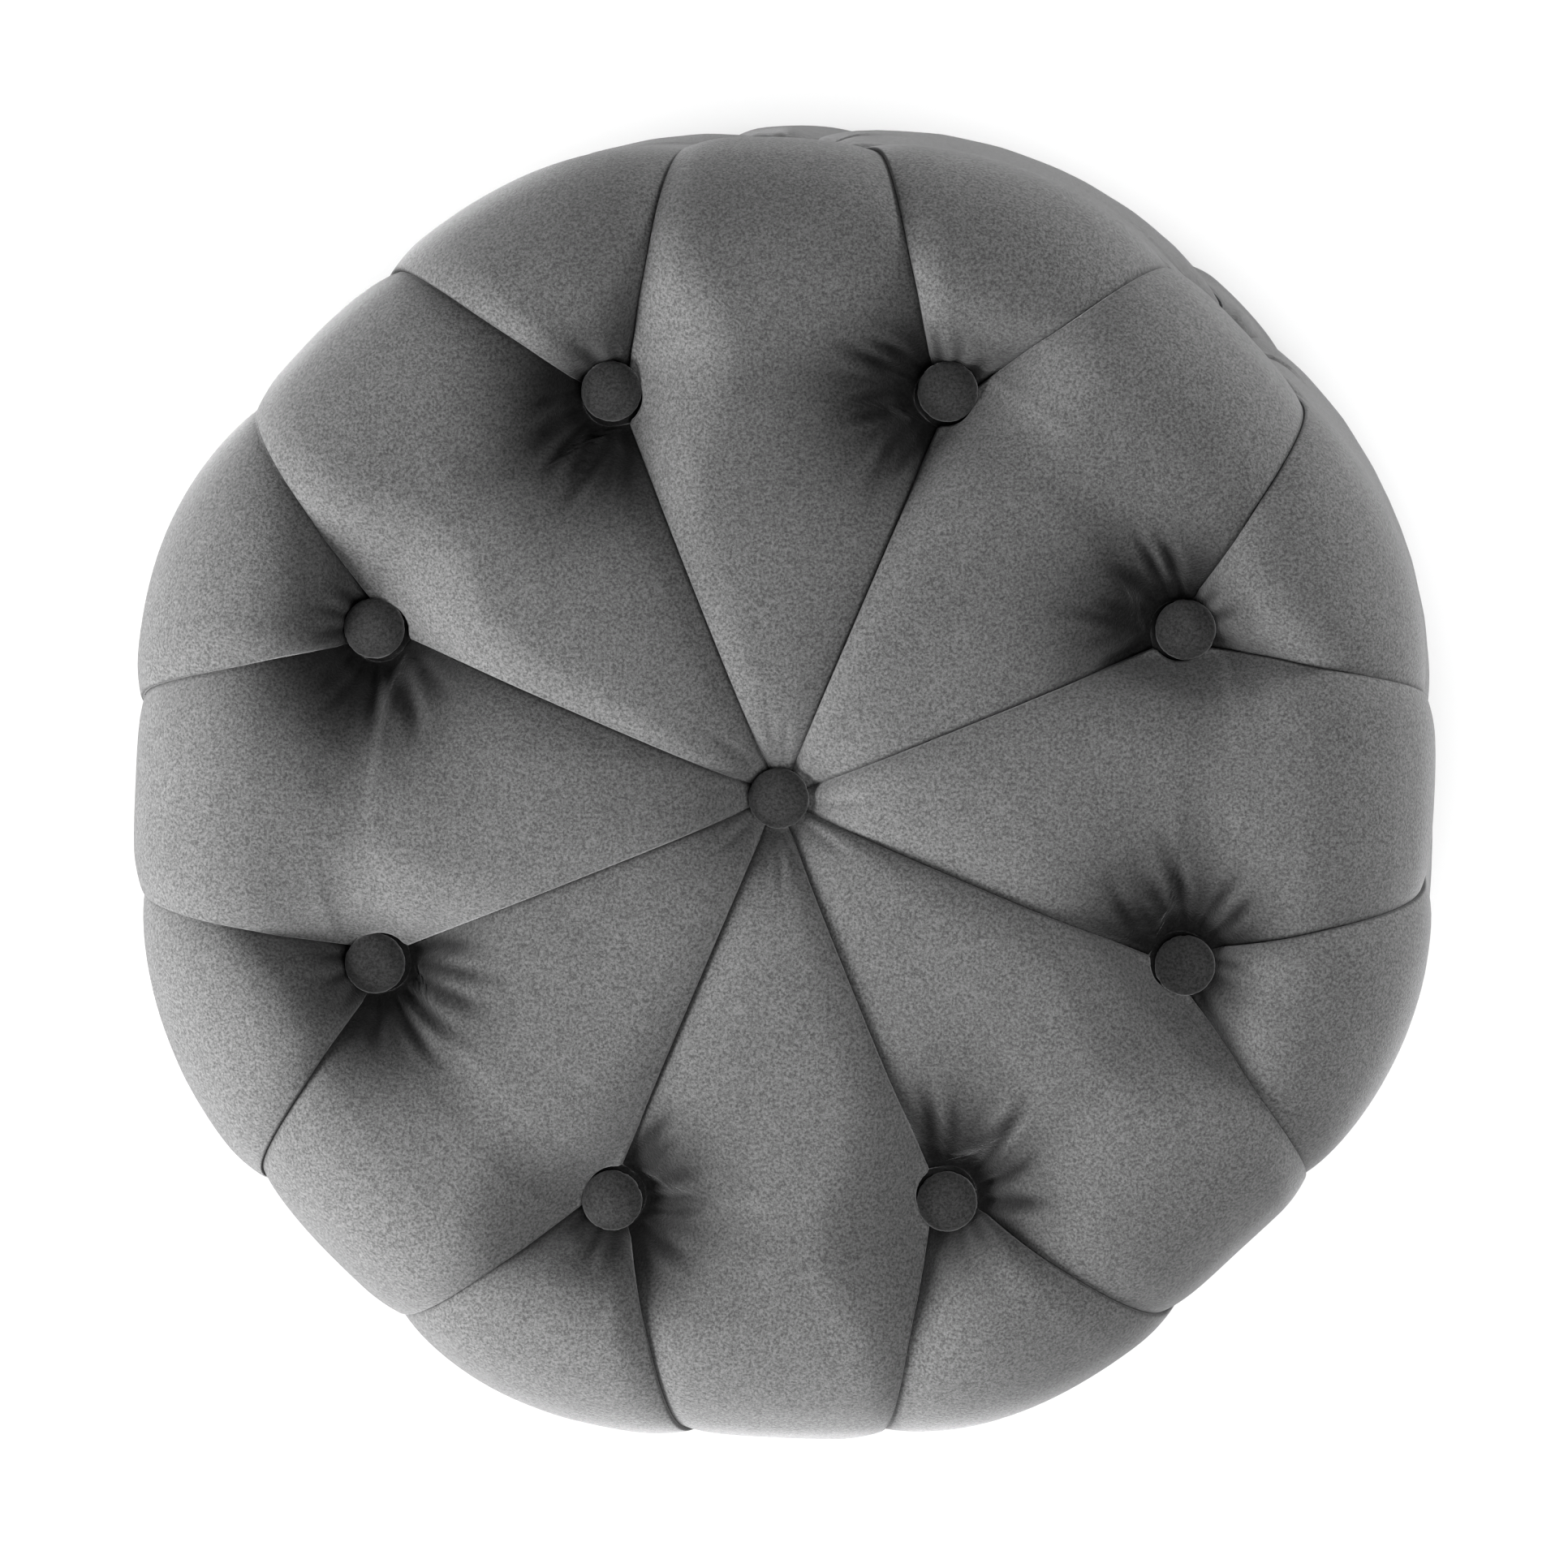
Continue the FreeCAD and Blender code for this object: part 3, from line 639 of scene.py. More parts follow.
def zip_rings(first, second, points, flip):
    """Triangles between two rings of points about the axis that differ in their number of points."""

    def in_order(ring):
        turns = np.arctan2(points[ring][:, 1], points[ring][:, 0]) % (2 * np.pi)
        return ring[np.argsort(turns)], np.append(np.sort(turns), np.inf)

    a, a_turn = in_order(first)
    b, b_turn = in_order(second)
    faces = []
    i = j = 0
    while i < len(a) or j < len(b):
        if a_turn[i] <= b_turn[j]:
            faces.append((int(a[i - 1]), int(a[i % len(a)]), int(b[j - 1])))
            i += 1
        else:
            faces.append((int(a[i - 1]), int(b[j % len(b)]), int(b[j - 1])))
            j += 1
    return [face[::-1] for face in faces] if flip else faces


def make_mesh(name, points, faces, painted_shade=None):
    """A smooth mesh in metres, without doubled points, that carries the painted shade of the cover's
    hollows and folds.
    """
    mesh = bpy.data.meshes.new(name)
    mesh.from_pydata((points * MM).tolist(), [], faces)
    if painted_shade is not None:
        layer = mesh.attributes.new("painted_shade", "FLOAT", "POINT")
        layer.data.foreach_set("value", painted_shade.astype(np.float32))
    work = bmesh.new()
    work.from_mesh(mesh)
    bmesh.ops.remove_doubles(work, verts=work.verts, dist=0.00002)
    bmesh.ops.dissolve_degenerate(work, edges=work.edges, dist=0.00001)
    work.to_mesh(mesh)
    work.free()
    mesh.polygons.foreach_set("use_smooth", [True] * len(mesh.polygons))
    mesh.update()
    return mesh


def shell_mesh(name, outer, inner, painted_shade):
    """A thin cover: a fine outer skin and a coarse inner one, joined round both of its edges."""
    points = np.concatenate([outer.reshape(-1, 3), inner.reshape(-1, 3)])
    outer_index = numbered(outer)
    inner_index = numbered(inner, outer_index.size)
    faces = grid_faces(outer_index) + [face[::-1] for face in grid_faces(inner_index)]
    for row in (0, -1):
        faces += zip_rings(outer_index[row], inner_index[row], points, row == -1)
    # Only the outer skin carries the painted shade.
    values = np.concatenate([painted_shade.reshape(-1), np.zeros(inner_index.size)])
    return make_mesh(name, points, faces, values)


def solid_mesh(name, rings):
    """A closed solid from rings round the axis, each with the same number of points."""
    grid = np.stack(rings)
    index = numbered(grid)
    return make_mesh(name, grid.reshape(-1, 3), grid_faces(np.concatenate([index, index[:1]])))


def flat_ring(ring, radius, height):
    """The points of a ring, moved to one radius and height."""
    return turned(radius, np.arctan2(ring[:, 1], ring[:, 0]), height)


def polar_grid(profile, columns, ripple=None):
    """Points of a profile of (radius, height) turned round the axis, pushed by a ripple."""
    angle = np.linspace(0, 2 * np.pi, columns, endpoint=False)[None, :]
    part = np.arange(len(profile))[:, None] / max(len(profile) - 1, 1)
    push_r, push_z = ripple(part, angle) if ripple else (0.0, 0.0)
    return turned(profile[:, :1] + push_r, angle, profile[:, 1:] + push_z)


# ---- cloth

CLOTH_FRAMES = 20
CLOTH_SETTINGS = {
    "quality": 6,
    "mass": 0.004,
    "use_pressure": True,
    "uniform_pressure_force": 8.0,
    "tension_stiffness": 18.0,
    "compression_stiffness": 18.0,
    "shear_stiffness": 8.0,
    "bending_stiffness": 2.5,
    "vertex_group_mass": "held",
}
# Points closer than about this, in millimetres, are one point of the cloth.
SAME_SPOT = 0.6


def held_share(tufting, rows, grid, starts, first_free, last_free):
    """How firmly the cloth is held, from 0 to 1: at its pleats, its ends and its deep hollows."""
    shallow = 9.0
    deep = 22.0
    held = np.zeros(grid.shape[:2])
    held[:, starts] = 1.0
    held[:, starts - 1] = 1.0
    held[(rows < first_free) | (rows > last_free)] = 1.0
    radius, height, out, up = tufting.outline.at(rows[:, None])
    below = (height - grid[:, :, 2]) * up
    below = below + (radius - np.hypot(grid[:, :, 0], grid[:, :, 1])) * out
    return np.maximum(held, smooth_step(below, shallow, deep))


def blow_out(points, faces, held):
    """Where the points of a cloth with air pressed into it have moved to."""
    scene = bpy.context.scene
    mesh = bpy.data.meshes.new("cloth")
    mesh.from_pydata((points * MM).tolist(), [], faces)
    piece = bpy.data.objects.new("cloth", mesh)
    scene.collection.objects.link(piece)
    group = piece.vertex_groups.new(name="held")
    for vertex, weight in enumerate(held):
        if weight > 0.01:
            group.add([vertex], float(weight), "REPLACE")
    cloth = piece.modifiers.new("cloth", "CLOTH")
    for setting, value in CLOTH_SETTINGS.items():
        setattr(cloth.settings, setting, value)
    cloth.settings.effector_weights.gravity = 0.0
    cloth.point_cache.frame_start = 1
    cloth.point_cache.frame_end = CLOTH_FRAMES
    for number in range(1, CLOTH_FRAMES + 1):
        scene.frame_set(number)
    shown = piece.evaluated_get(bpy.context.evaluated_depsgraph_get())
    moved = np.zeros(len(points) * 3)
    shown.to_mesh().vertices.foreach_get("co", moved)
    shown.to_mesh_clear()
    scene.frame_set(1)
    bpy.data.objects.remove(piece)
    bpy.data.meshes.remove(mesh)
    return moved.reshape(-1, 3) / MM


def relax(tufting, columns, first_free, last_free, limit):
    """Blow the cover out gently as cloth that is held at its pleats, buttons and edges.

    The cloth's movement is kept as a smooth shift that the fine cover is then built with.
    """
    rows = thinned(tufting.rows(), 3)
    grid, _ = panel_grid(tufting, rows, columns, fine=False)
    points = grid.reshape(-1, 3)
    # Points that lie together, as where a panel has run out, are one point of the cloth.
    spots = np.round(points / SAME_SPOT)
    _, chosen, same = np.unique(spots, axis=0, return_index=True, return_inverse=True)
    same = same.reshape(-1)
    faces = [list(dict.fromkeys(same[face].tolist())) for face in grid_faces(numbered(grid))]
    starts = np.cumsum([0] + list(columns) * TUFTS)[:-1]
    held = np.zeros(len(chosen))
    share = held_share(tufting, rows, grid, starts, first_free, last_free)
    np.maximum.at(held, same, share.reshape(-1))
    moved = blow_out(points[chosen], [face for face in faces if len(face) > 2], held)
    shift = (moved - points[chosen])[same].reshape(grid.shape)
    size = np.linalg.norm(shift, axis=-1, keepdims=True)
    shift = shift * np.minimum(1.0, limit / np.maximum(size, TINY))
    print("cloth moved by up to", round(float(size.max()), 2), "mm, mean", round(float(size.mean()), 2))
    places = column_places(columns)

    def lookup(panel, wide, fine_rows, part):
        start = starts[panel * 2 + int(wide)]
        block = shift[:, start : start + columns[int(wide)]]
        across = []
        for axis in range(3):
            across.append([np.interp(part, places[int(wide)], line) for line in block[:, :, axis]])
        flat = np.stack(across, axis=-1).reshape(len(rows), -1)
        high = np.searchsorted(rows, fine_rows).clip(1, len(rows) - 1)
        mix = ((fine_rows - rows[high - 1]) / (rows[high] - rows[high - 1])).clip(0, 1)[:, None]
        result = flat[high - 1] * (1 - mix) + flat[high] * mix
        return result.reshape(len(fine_rows), len(part), 3)

    return lookup


# ---- materials


class Finish:
    """A node material built up from a principled shader."""

    def __init__(self, name, roughness, **sockets):
        self.material = bpy.data.materials.new(name)
        self.material.use_nodes = True
        self.nodes = self.material.node_tree.nodes
        self.nodes.clear()
        output = self.node("OutputMaterial")
        self.shader = self.node("BsdfPrincipled", Roughness=roughness, **sockets)
        self.link(self.shader.outputs[0], output.inputs[0])

    def node(self, kind, **sockets):
        """A new shader node with values on its sockets, whose names have _ for a space."""
        node = self.nodes.new("ShaderNode" + kind)
        for socket, value in sockets.items():
            node.inputs[socket.replace("_", " ")].default_value = value
        return node

    def link(self, source, target):
        self.material.node_tree.links.new(source, target)

    def noise(self, scale, detail=2.0, roughness=0.5, stretch=(1, 1, 1)):
        mapping = self.node("Mapping", Scale=stretch)
        texture = self.node("TexNoise", Scale=scale, Detail=detail, Roughness=roughness)
        self.link(self.node("TexCoord").outputs["Object"], mapping.inputs["Vector"])
        self.link(mapping.outputs["Vector"], texture.inputs["Vector"])
        return texture.outputs["Fac"]

    def bands(self, scale, direction):
        texture = self.node("TexWave", Scale=scale, Distortion=0.0)
        texture.bands_direction = direction
        self.link(self.node("TexCoord").outputs["Object"], texture.inputs["Vector"])
        return texture.outputs["Fac"]

    def attribute(self, name):
        node = self.node("Attribute")
        node.attribute_name = name
        return node.outputs["Fac"]

    def upward(self):
        """One where a face looks up or down, nought where it is upright."""
        split = self.node("SeparateXYZ")
        self.link(self.node("NewGeometry").outputs["True Normal"], split.inputs[0])
        size = self.node("Math")
        size.operation = "ABSOLUTE"
        self.link(split.outputs["Z"], size.inputs[0])
        return size.outputs[0]

    def ramp(self, source, *stops):
        """A colour from a value, by stops of (value, colour)."""
        node = self.node("ValToRGB")
        elements = node.color_ramp.elements
        while len(elements) < len(stops):
            elements.new(0.5)
        for element, (position, colour) in zip(elements, stops):
            element.position = position
            element.color = (*colour, 1.0)
        self.link(source, node.inputs["Fac"])
        return node.outputs["Color"]

    def mix(self, factor, first, second, kind="MIX"):
        node = self.node("Mix")
        node.data_type = "RGBA"
        node.blend_type = kind
        if isinstance(factor, float):
            node.inputs["Factor"].default_value = factor
        else:
            self.link(factor, node.inputs["Factor"])
        self.link(first, node.inputs[6])
        self.link(second, node.inputs[7])
        return node.outputs[2]

    def multiply(self, first, second):
        return self.mix(1.0, first, second, "MULTIPLY")

    def done(self, colour, height=None, strength=0.0, distance=0.0):
        """The material, with its colour and a bump from a height, of a distance in metres."""
        self.link(colour, self.shader.inputs["Base Color"])
        if height:
            node = self.node("Bump", Strength=strength, Distance=distance)
            self.link(height, node.inputs["Height"])
            self.link(node.outputs["Normal"], self.shader.inputs["Normal"])
        return self.material


def grey(value):
    return (value, value, value)


def velvet(name, level, sheen):
    """Short pile: a fine mottled nap, wide soft patches, and painted shade that darkens it in the hollows
    and folds.
    """
    contrast = 0.5
    finish = Finish(
        name,
        0.9,
        Specular_IOR_Level=0.05,
        Sheen_Weight=sheen,
        Sheen_Roughness=0.42,
        Sheen_Tint=(0.95, 0.95, 0.96, 1.0),
    )
    fine = finish.noise(820.0, 3.0, 0.75)
    patch = finish.noise(24.0, 3.0, 0.55)
    nap = finish.ramp(fine, (0.36, grey(level * (1 - contrast))), (0.64, grey(level * (1 + contrast))))
    patches = finish.ramp(patch, (0.3, grey(0.92)), (0.7, grey(1.0)))
    # Painted shade: the colour falls to under a tenth in the deepest hollows, in the folds and under the
    # noses.
    painted_shade_tone = finish.ramp(
        finish.attribute("painted_shade"),
        (0.0, grey(1.0)),
        (0.35, grey(0.55)),
        (0.7, grey(0.24)),
        (1.0, grey(0.07)),
    )
    return finish.done(finish.multiply(finish.multiply(nap, patches), painted_shade_tone), fine, 0.5, 0.0008)


def plain_finish(name, colour, roughness, scale, contrast, depth, stretch=(1, 1, 1), **sockets):
    """One colour with a small even mottle and a bump of a depth in metres."""
    finish = Finish(name, roughness, **sockets)
    source = finish.noise(scale, 4.0, 0.6, stretch)
    dark = tuple(c * (1 - contrast) for c in colour)
    light = tuple(min(c * (1 + contrast), 1.0) for c in colour)
    return finish.done(finish.ramp(source, (0.3, dark), (0.7, light)), source, 0.4, depth)


def plywood_finish(name):
    """Long grain on the faces and thin plies on the edges."""
    finish = Finish(name, 0.6)
    grain = finish.noise(60.0, 6.0, 0.6, (0.08, 1.0, 1.0))
    dark, middle, light = (0.42, 0.27, 0.14), (0.6, 0.43, 0.26), (0.7, 0.53, 0.34)
    face = finish.ramp(grain, (0.25, dark), (0.5, middle), (0.75, light))
    edge = finish.ramp(finish.bands(52.0, "Z"), (0.35, (0.34, 0.21, 0.11)), (0.65, (0.66, 0.49, 0.31)))
    return finish.done(finish.mix(finish.upward(), edge, face), grain, 0.3, 0.0004)


def pine_finish(name):
    """Upright grain, with broad bands of a slightly darker tone."""
    finish = Finish(name, 0.55)
    grain = finish.noise(150.0, 5.0, 0.6, (1.0, 1.0, 0.06))
    broad = finish.noise(22.0, 2.0, 0.5, (1.0, 1.0, 0.1))
    fine = finish.ramp(grain, (0.3, (0.62, 0.42, 0.2)), (0.7, (0.78, 0.6, 0.36)))
    wide = finish.ramp(broad, (0.35, (0.86, 0.82, 0.78)), (0.65, grey(1.0)))
    return finish.done(finish.multiply(fine, wide), grain, 0.3, 0.0003)


def cloth_finish(name, level, scale):
    """Spun-bonded or thin woven cloth, with a small even texture."""
    finish = Finish(name, 0.92, Specular_IOR_Level=0.2)
    warp = finish.noise(scale, 2.0, 0.5, (1.0, 0.35, 1.0))
    weft = finish.noise(scale, 2.0, 0.5, (0.35, 1.0, 1.0))
    both = finish.mix(0.5, warp, weft)
    shades = finish.ramp(both, (0.3, grey(level * 0.6)), (0.7, grey(level * 1.5)))
    return finish.done(shades, both, 0.5, 0.0004)


# Each plain finish has its name, colour, roughness, noise scale, contrast and depth of bump.
SLOT_FINISHES = {
    "velvet": velvet("velvet_grey", 0.073, 0.28),
    # The buttons' velvet is the seat's velvet at a third of its level: painted shade for the buttons sunk
    # in their hollows.
    "button_velvet": velvet("button_velvet_painted_shade", 0.024, 0.3),
    "lining_cloth": cloth_finish("lining_black", 0.035, 900.0),
    "dust_cloth": cloth_finish("dust_cloth_black", 0.02, 500.0),
    "foam": plain_finish("foam_cream", (0.72, 0.66, 0.5), 0.95, 700.0, 0.2, 0.0008),
    "batting": plain_finish(
        "batting_white", (0.82, 0.82, 0.8), 0.95, 240.0, 0.12, 0.002, Sheen_Weight=0.3
    ),
    "plywood": plywood_finish("plywood_pale"),
    "pine": pine_finish("pine_pale"),
    "hardboard": plain_finish("hardboard_brown", (0.3, 0.19, 0.1), 0.55, 800.0, 0.25, 0.0001),
    "foot_plastic": plain_finish("plastic_black", grey(0.02), 0.42, 1500.0, 0.3, 0.0001),
    "washer_plastic": plain_finish("plastic_pale", (0.8, 0.8, 0.78), 0.5, 900.0, 0.05, 0.0001),
    "screw_steel": plain_finish("zinc_steel", grey(0.6), 0.32, 400.0, 0.1, 0.0001, Metallic=1.0),
    "button_metal": plain_finish("tinned_steel", grey(0.55), 0.25, 600.0, 0.1, 0.0001, Metallic=1.0),
    "twine": plain_finish(
        "waxed_twine", (0.75, 0.72, 0.66), 0.7, 1800.0, 0.25, 0.0005, (1.0, 1.0, 0.3)
    ),
}
for subpart in frame["record"]["subparts"]:
    node = frame["nodes"][subpart["node"]]
    node.data.materials.clear()
    node.data.materials.append(SLOT_FINISHES[subpart["material_slot"]])


def place(name, mesh, body, slot, node):
    """Put a piece in the scene on a body, in place of the node that it stands for."""
    piece = bpy.data.objects.new(name, mesh)
    bpy.context.scene.collection.objects.link(piece)
    mesh.materials.append(SLOT_FINISHES[slot])
    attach(piece, body)
    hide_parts(node)
    return piece


def place_solid(name, rings, body, slot, node):
    return place(name, solid_mesh(name, rings), body, slot, node)


def place_padding(name, rings, body, slot, node):
    place_solid(name, rings, body, slot, node)


def place_cover(name, tufting, columns, coarse_columns, thickness, body, node):
    """A velvet cover with a fine outer skin and a coarse inner one, a thickness apart."""
    rows = tufting.rows()
    outer, painted_shade = panel_grid(tufting, rows, columns)
    inner, _ = panel_grid(tufting, thinned(rows, 2), coarse_columns, thickness, fine=False)
    mesh = shell_mesh(name, outer, inner, painted_shade)
    place(name, mesh, body, "velvet", node)


# ---- lid cover and padding

LID_COARSE = (20, 16)
lid_tufting = LidTufting(8)
lid_tufting.shift = relax(lid_tufting, (16, 13), RIM + 3.0, lid_tufting.s_bottom - 16.0, 4.0)
place_cover("lid_velvet", lid_tufting, (40, 32), LID_COARSE, 3.3, "lid", "lid_cover")


def lid_layer(inset, last_height):
    """Rings of the lid's surface at an inset, from the middle out and down to a height."""
    rows = thinned(lid_tufting.rows(), 2)
    grid, _ = panel_grid(lid_tufting, rows, LID_COARSE, inset, fine=False)
    past = rows > lid_tufting.s_ring + 40.0
    return list(grid[: int(np.argmax(past & (grid[:, :, 2].mean(axis=1) < last_height)))])


# Layers lie inside one another with a small gap, and the hole round the axis is 2 mm in radius.
CORE = 2.0
GAP = 0.2
batting_end = board_low[2] + 8.0
batting_rings = lid_layer(4.4, batting_end) + lid_layer(7.6, batting_end)[::-1]
place_padding("lid_batting_layer", batting_rings, "lid", "batting", "lid_batting")

foam_rings = lid_layer(8.6, firm_high[2] + 2.0)
for radius in (LID_RADIUS - 10.0, CORE):
    foam_rings.append(flat_ring(foam_rings[-1], radius, firm_high[2] + GAP))
place_padding("lid_soft_foam_pad", foam_rings, "lid", "foam", "lid_soft_foam")

turn = np.linspace(0, 2 * np.pi, 160, endpoint=False)
firm_profile = [
    (CORE, firm_high[2]),
    (LID_RADIUS - 14.0, firm_high[2]),
    (LID_RADIUS - 16.0, firm_high[2] - 20.0),
    (LID_RADIUS - 19.0, board_high[2] + GAP),
    (CORE, board_high[2] + GAP),
]
firm_rings = []
for radius, height in firm_profile:
    wave = 1.0 - (3.0 / LID_RADIUS) * (0.6 + np.cos(TUFTS * turn)) * (radius > CORE)
    firm_rings.append(turned(radius * wave, turn, height))
place_padding("lid_firm_foam_slab", firm_rings, "lid", "foam", "lid_firm_foam")


# ---- drum cover and padding

DRUM_COARSE = (14, 30)
drum_tufting = DrumTufting(21)
first_free = drum_tufting.s_turn + 3.0
drum_tufting.shift = relax(drum_tufting, (12, 18), first_free, drum_tufting.s_low - 10.0, 3.0)
place_cover("drum_velvet", drum_tufting, (24, 52), DRUM_COARSE, 2.2, "drum", "side_cover")


def drum_layer(inset):
    """Rings of the drum's surface at an inset, between its ends, and none inside the wall panel."""
    rows = thinned(drum_tufting.rows(), 2)
    grid, _ = panel_grid(drum_tufting, rows, DRUM_COARSE, inset, fine=False)
    radii = np.hypot(grid[:, :, 0], grid[:, :, 1])
    outside = (radii.min(axis=1) > PANEL_OUTER + 1.0) & (grid[:, :, 2].max(axis=1) < DRUM_TOP - 2.0)
    keep = outside | (np.abs(rows - drum_tufting.s_button) < 40.0)
    rings = []
    for ring, radius in zip(grid[keep], radii[keep]):
        nearest = flat_ring(ring, PANEL_OUTER + 0.6, ring[:, 2])
        rings.append(np.where(radius[:, None] < PANEL_OUTER + 0.6, nearest, ring))
    return rings


batting_rings = drum_layer(3.6) + drum_layer(6.2)[::-1]
place_padding("side_batting_layer", batting_rings, "drum", "batting", "side_batting")

foam_rings = drum_layer(6.8)
foam_back = []
for ring in (foam_rings[-1], foam_rings[0]):
    foam_back.append(flat_ring(ring, PANEL_OUTER + GAP, ring[:, 2].mean()))
place_padding("side_foam_wrap", foam_rings + foam_back, "drum", "foam", "side_foam")


# ---- covered buttons


def button_mesh(name, origin, way, random):
    """Velvet stretched over a dome, gathered in small folds where it turns under the rim."""
    round_radius = 3.4
    round_height = 3.2
    under_radius = 10.2
    under_height = 0.1
    tip_radius = 0.3
    columns = 96
    centre = (BUTTON_RADIUS - round_radius, round_height)
    shoulder = arc_run(centre, round_radius, math.radians(62), math.radians(-28), 14)
    top_r, top_z = shoulder[0]
    dome_r = np.linspace(tip_radius, top_r, 16, endpoint=False)
    dome_z = BUTTON_HEIGHT - (BUTTON_HEIGHT - top_z) * (dome_r / top_r) ** 2.1
    under = line_run(tuple(shoulder[-1]), (under_radius, under_height), 6)[1:]
    profile = np.concatenate([np.stack([dome_r, dome_z], axis=1), shoulder, under])
    folds = [(random.uniform(0, 2 * np.pi), random.uniform(0.5, 1.0)) for _ in range(13)]
    dents = []
    for _ in range(5):
        direction = random.uniform(0, 2 * np.pi)
        dents.append((direction, random.uniform(0, 7.0), random.uniform(-0.22, 0.22)))

    def ripple(part, angle):
        low = smooth_step(part, 0.55, 0.85)
        gather = 0.0
        for middle, size in folds:
            gather = gather - size * bell(half_turn(angle - middle), 0.07)
        lift = 0.0
        x = profile[:, :1] * np.cos(angle)
        y = profile[:, :1] * np.sin(angle)
        for direction, radius, size in dents:
            away = np.hypot(x - radius * math.cos(direction), y - radius * math.sin(direction))
            lift = lift + size * bell(away, 3.2)
        return 0.4 * gather * low, lift * (1 - low)

    grid = polar_grid(profile, columns, ripple)
    index = numbered(grid)
    faces = grid_faces(index)
    following = np.roll(index, -1, axis=1)
    tip = index.size
    seat = tip + 1
    faces += [(int(a), int(b), tip) for a, b in zip(index[0], following[0])]
    faces += [(int(a), int(b), seat) for a, b in zip(following[-1], index[-1])]
    ends = [[0, 0, grid[0, :, 2].mean()], [0, 0, under_height]]
    points = np.concatenate([grid.reshape(-1, 3), ends])
    turn_to = Vector((0, 0, 1)).rotation_difference(Vector(way)).to_matrix()
    points = points @ np.array(turn_to).T + np.array(origin)
    return make_mesh(name, points, faces, np.zeros(len(points)))


button_random = np.random.default_rng(5)
for name in sorted(frame["nodes"]):
    if "button" not in name or name.endswith(("backs", "twines")):
        continue
    low, high = box_mm(name)
    middle = (low + high) / 2
    if name.startswith("side"):
        body = "drum"
        way = middle * [1, 1, 0] / np.linalg.norm(middle[:2])
        origin = way * SIDE_SEAT + [0, 0, middle[2]]
    else:
        body = "lid"
        way = np.array([0.0, 0.0, 1.0])
        origin = np.array([middle[0], middle[1], low[2]])
    mesh = button_mesh(name + "_velvet", origin, way, button_random)
    place(name + "_velvet", mesh, body, "button_velvet", name)


# ---- linings and dust cover


def waves(random, count, low, high):
    """Waves round the axis, each with its number, its phase and its size."""
    terms = []
    for _ in range(count):
        number = int(random.integers(low, high))
        terms.append((number, random.uniform(0, 6.28), random.uniform(0.4, 1.0)))
    return terms


def wave_share(terms, angle):
    """The waves' sum, brought to about 0 to 1."""
    total = sum(size * np.sin(number * angle + phase) for number, phase, size in terms)
    return 0.5 + 0.5 * (total / len(terms))


def band_ripple(random, count, low, high, size, *stops):
    """A ripple up or down, within a band that starts and ends along the profile."""
    terms = waves(random, count, low, high)
    return lambda part, angle: (0.0, size * hump(part, *stops) * wave_share(terms, angle))


def sheet_rings(profile, columns, ripple, thickness):
    """The rings of a thin sheet's visible face, and of its back, a thickness away."""
    slopes = np.gradient(profile, axis=0)
    slopes /= np.linalg.norm(slopes, axis=1)[:, None]
    back = profile + np.stack([slopes[:, 1], -slopes[:, 0]], axis=1) * thickness
    return [*polar_grid(profile, columns, ripple), *polar_grid(back, columns, ripple)[::-1]]


def run_length(profile):
    """The length of a profile in metres."""
    return step_lengths(profile).sum() * MM


def declare_disc(profile):
    """The length that a round sheet's profile runs from the middle, worked out and left unused."""
    reach = run_length(profile)


LINING_THICKNESS = 0.7
HOLE = 0.5
lining_random = np.random.default_rng(17)

wall_terms = waves(lining_random, 7, 18, 60)
well_radius = well_high[0] - 4.9
well_top = well_high[2]
wall_roll = 2.4
wall_profile = np.concatenate(
    [
        line_run((well_radius, floor_low[2] + 0.2), (well_radius, well_top - 3.5), 40),
        arc_run((well_radius + wall_roll, well_top - 2.6), wall_roll, math.pi, math.pi / 2, 10),
        line_run((well_radius + 2.6, well_top - 0.1), (well_high[0] - 0.1, well_top - 0.1), 4)[1:],
    ]
)


def wall_ripple(part, angle):
    """Soft folds inward and outward, most of them half way up the well."""
    loose = np.sin(np.pi * (part / 0.8).clip(0, 1)) ** 0.6
    return 0.75 * loose * wave_share(wall_terms, angle + 0.05 * np.sin(5 * part)), 0.0


wall_rings = sheet_rings(wall_profile, 480, wall_ripple, LINING_THICKNESS)
well_lining = place_solid("well_lining", wall_rings, "drum", "lining_cloth", "well_wall_lining")
wall_width = 2 * math.pi * well_radius * MM
wall_flat = (wall_width, run_length(wall_profile))

floor_round = 1.2
floor_radius = floor_high[0]
floor_top = floor_high[2]
floor_profile = np.concatenate(
    [
        line_run((HOLE, floor_top), (floor_radius - 1.6, floor_top), 40),
        arc_run((floor_radius - floor_round, floor_top - floor_round), floor_round, math.pi / 2, 0.0, 8),
        line_run((floor_radius, floor_top - 1.6), (floor_radius, floor_low[2] + 0.1), 3),
    ]
)
floor_ripple = band_ripple(lining_random, 6, 7, 30, -0.35, 0.45, 0.75, 0.76, 0.82)
floor_back = np.array([[HOLE, floor_low[2] + 0.1]])
floor_rings = [*polar_grid(floor_profile, 240, floor_ripple), *polar_grid(floor_back, 240)]
place_solid("well_floor_board", floor_rings, "drum", "lining_cloth", "well_floor")

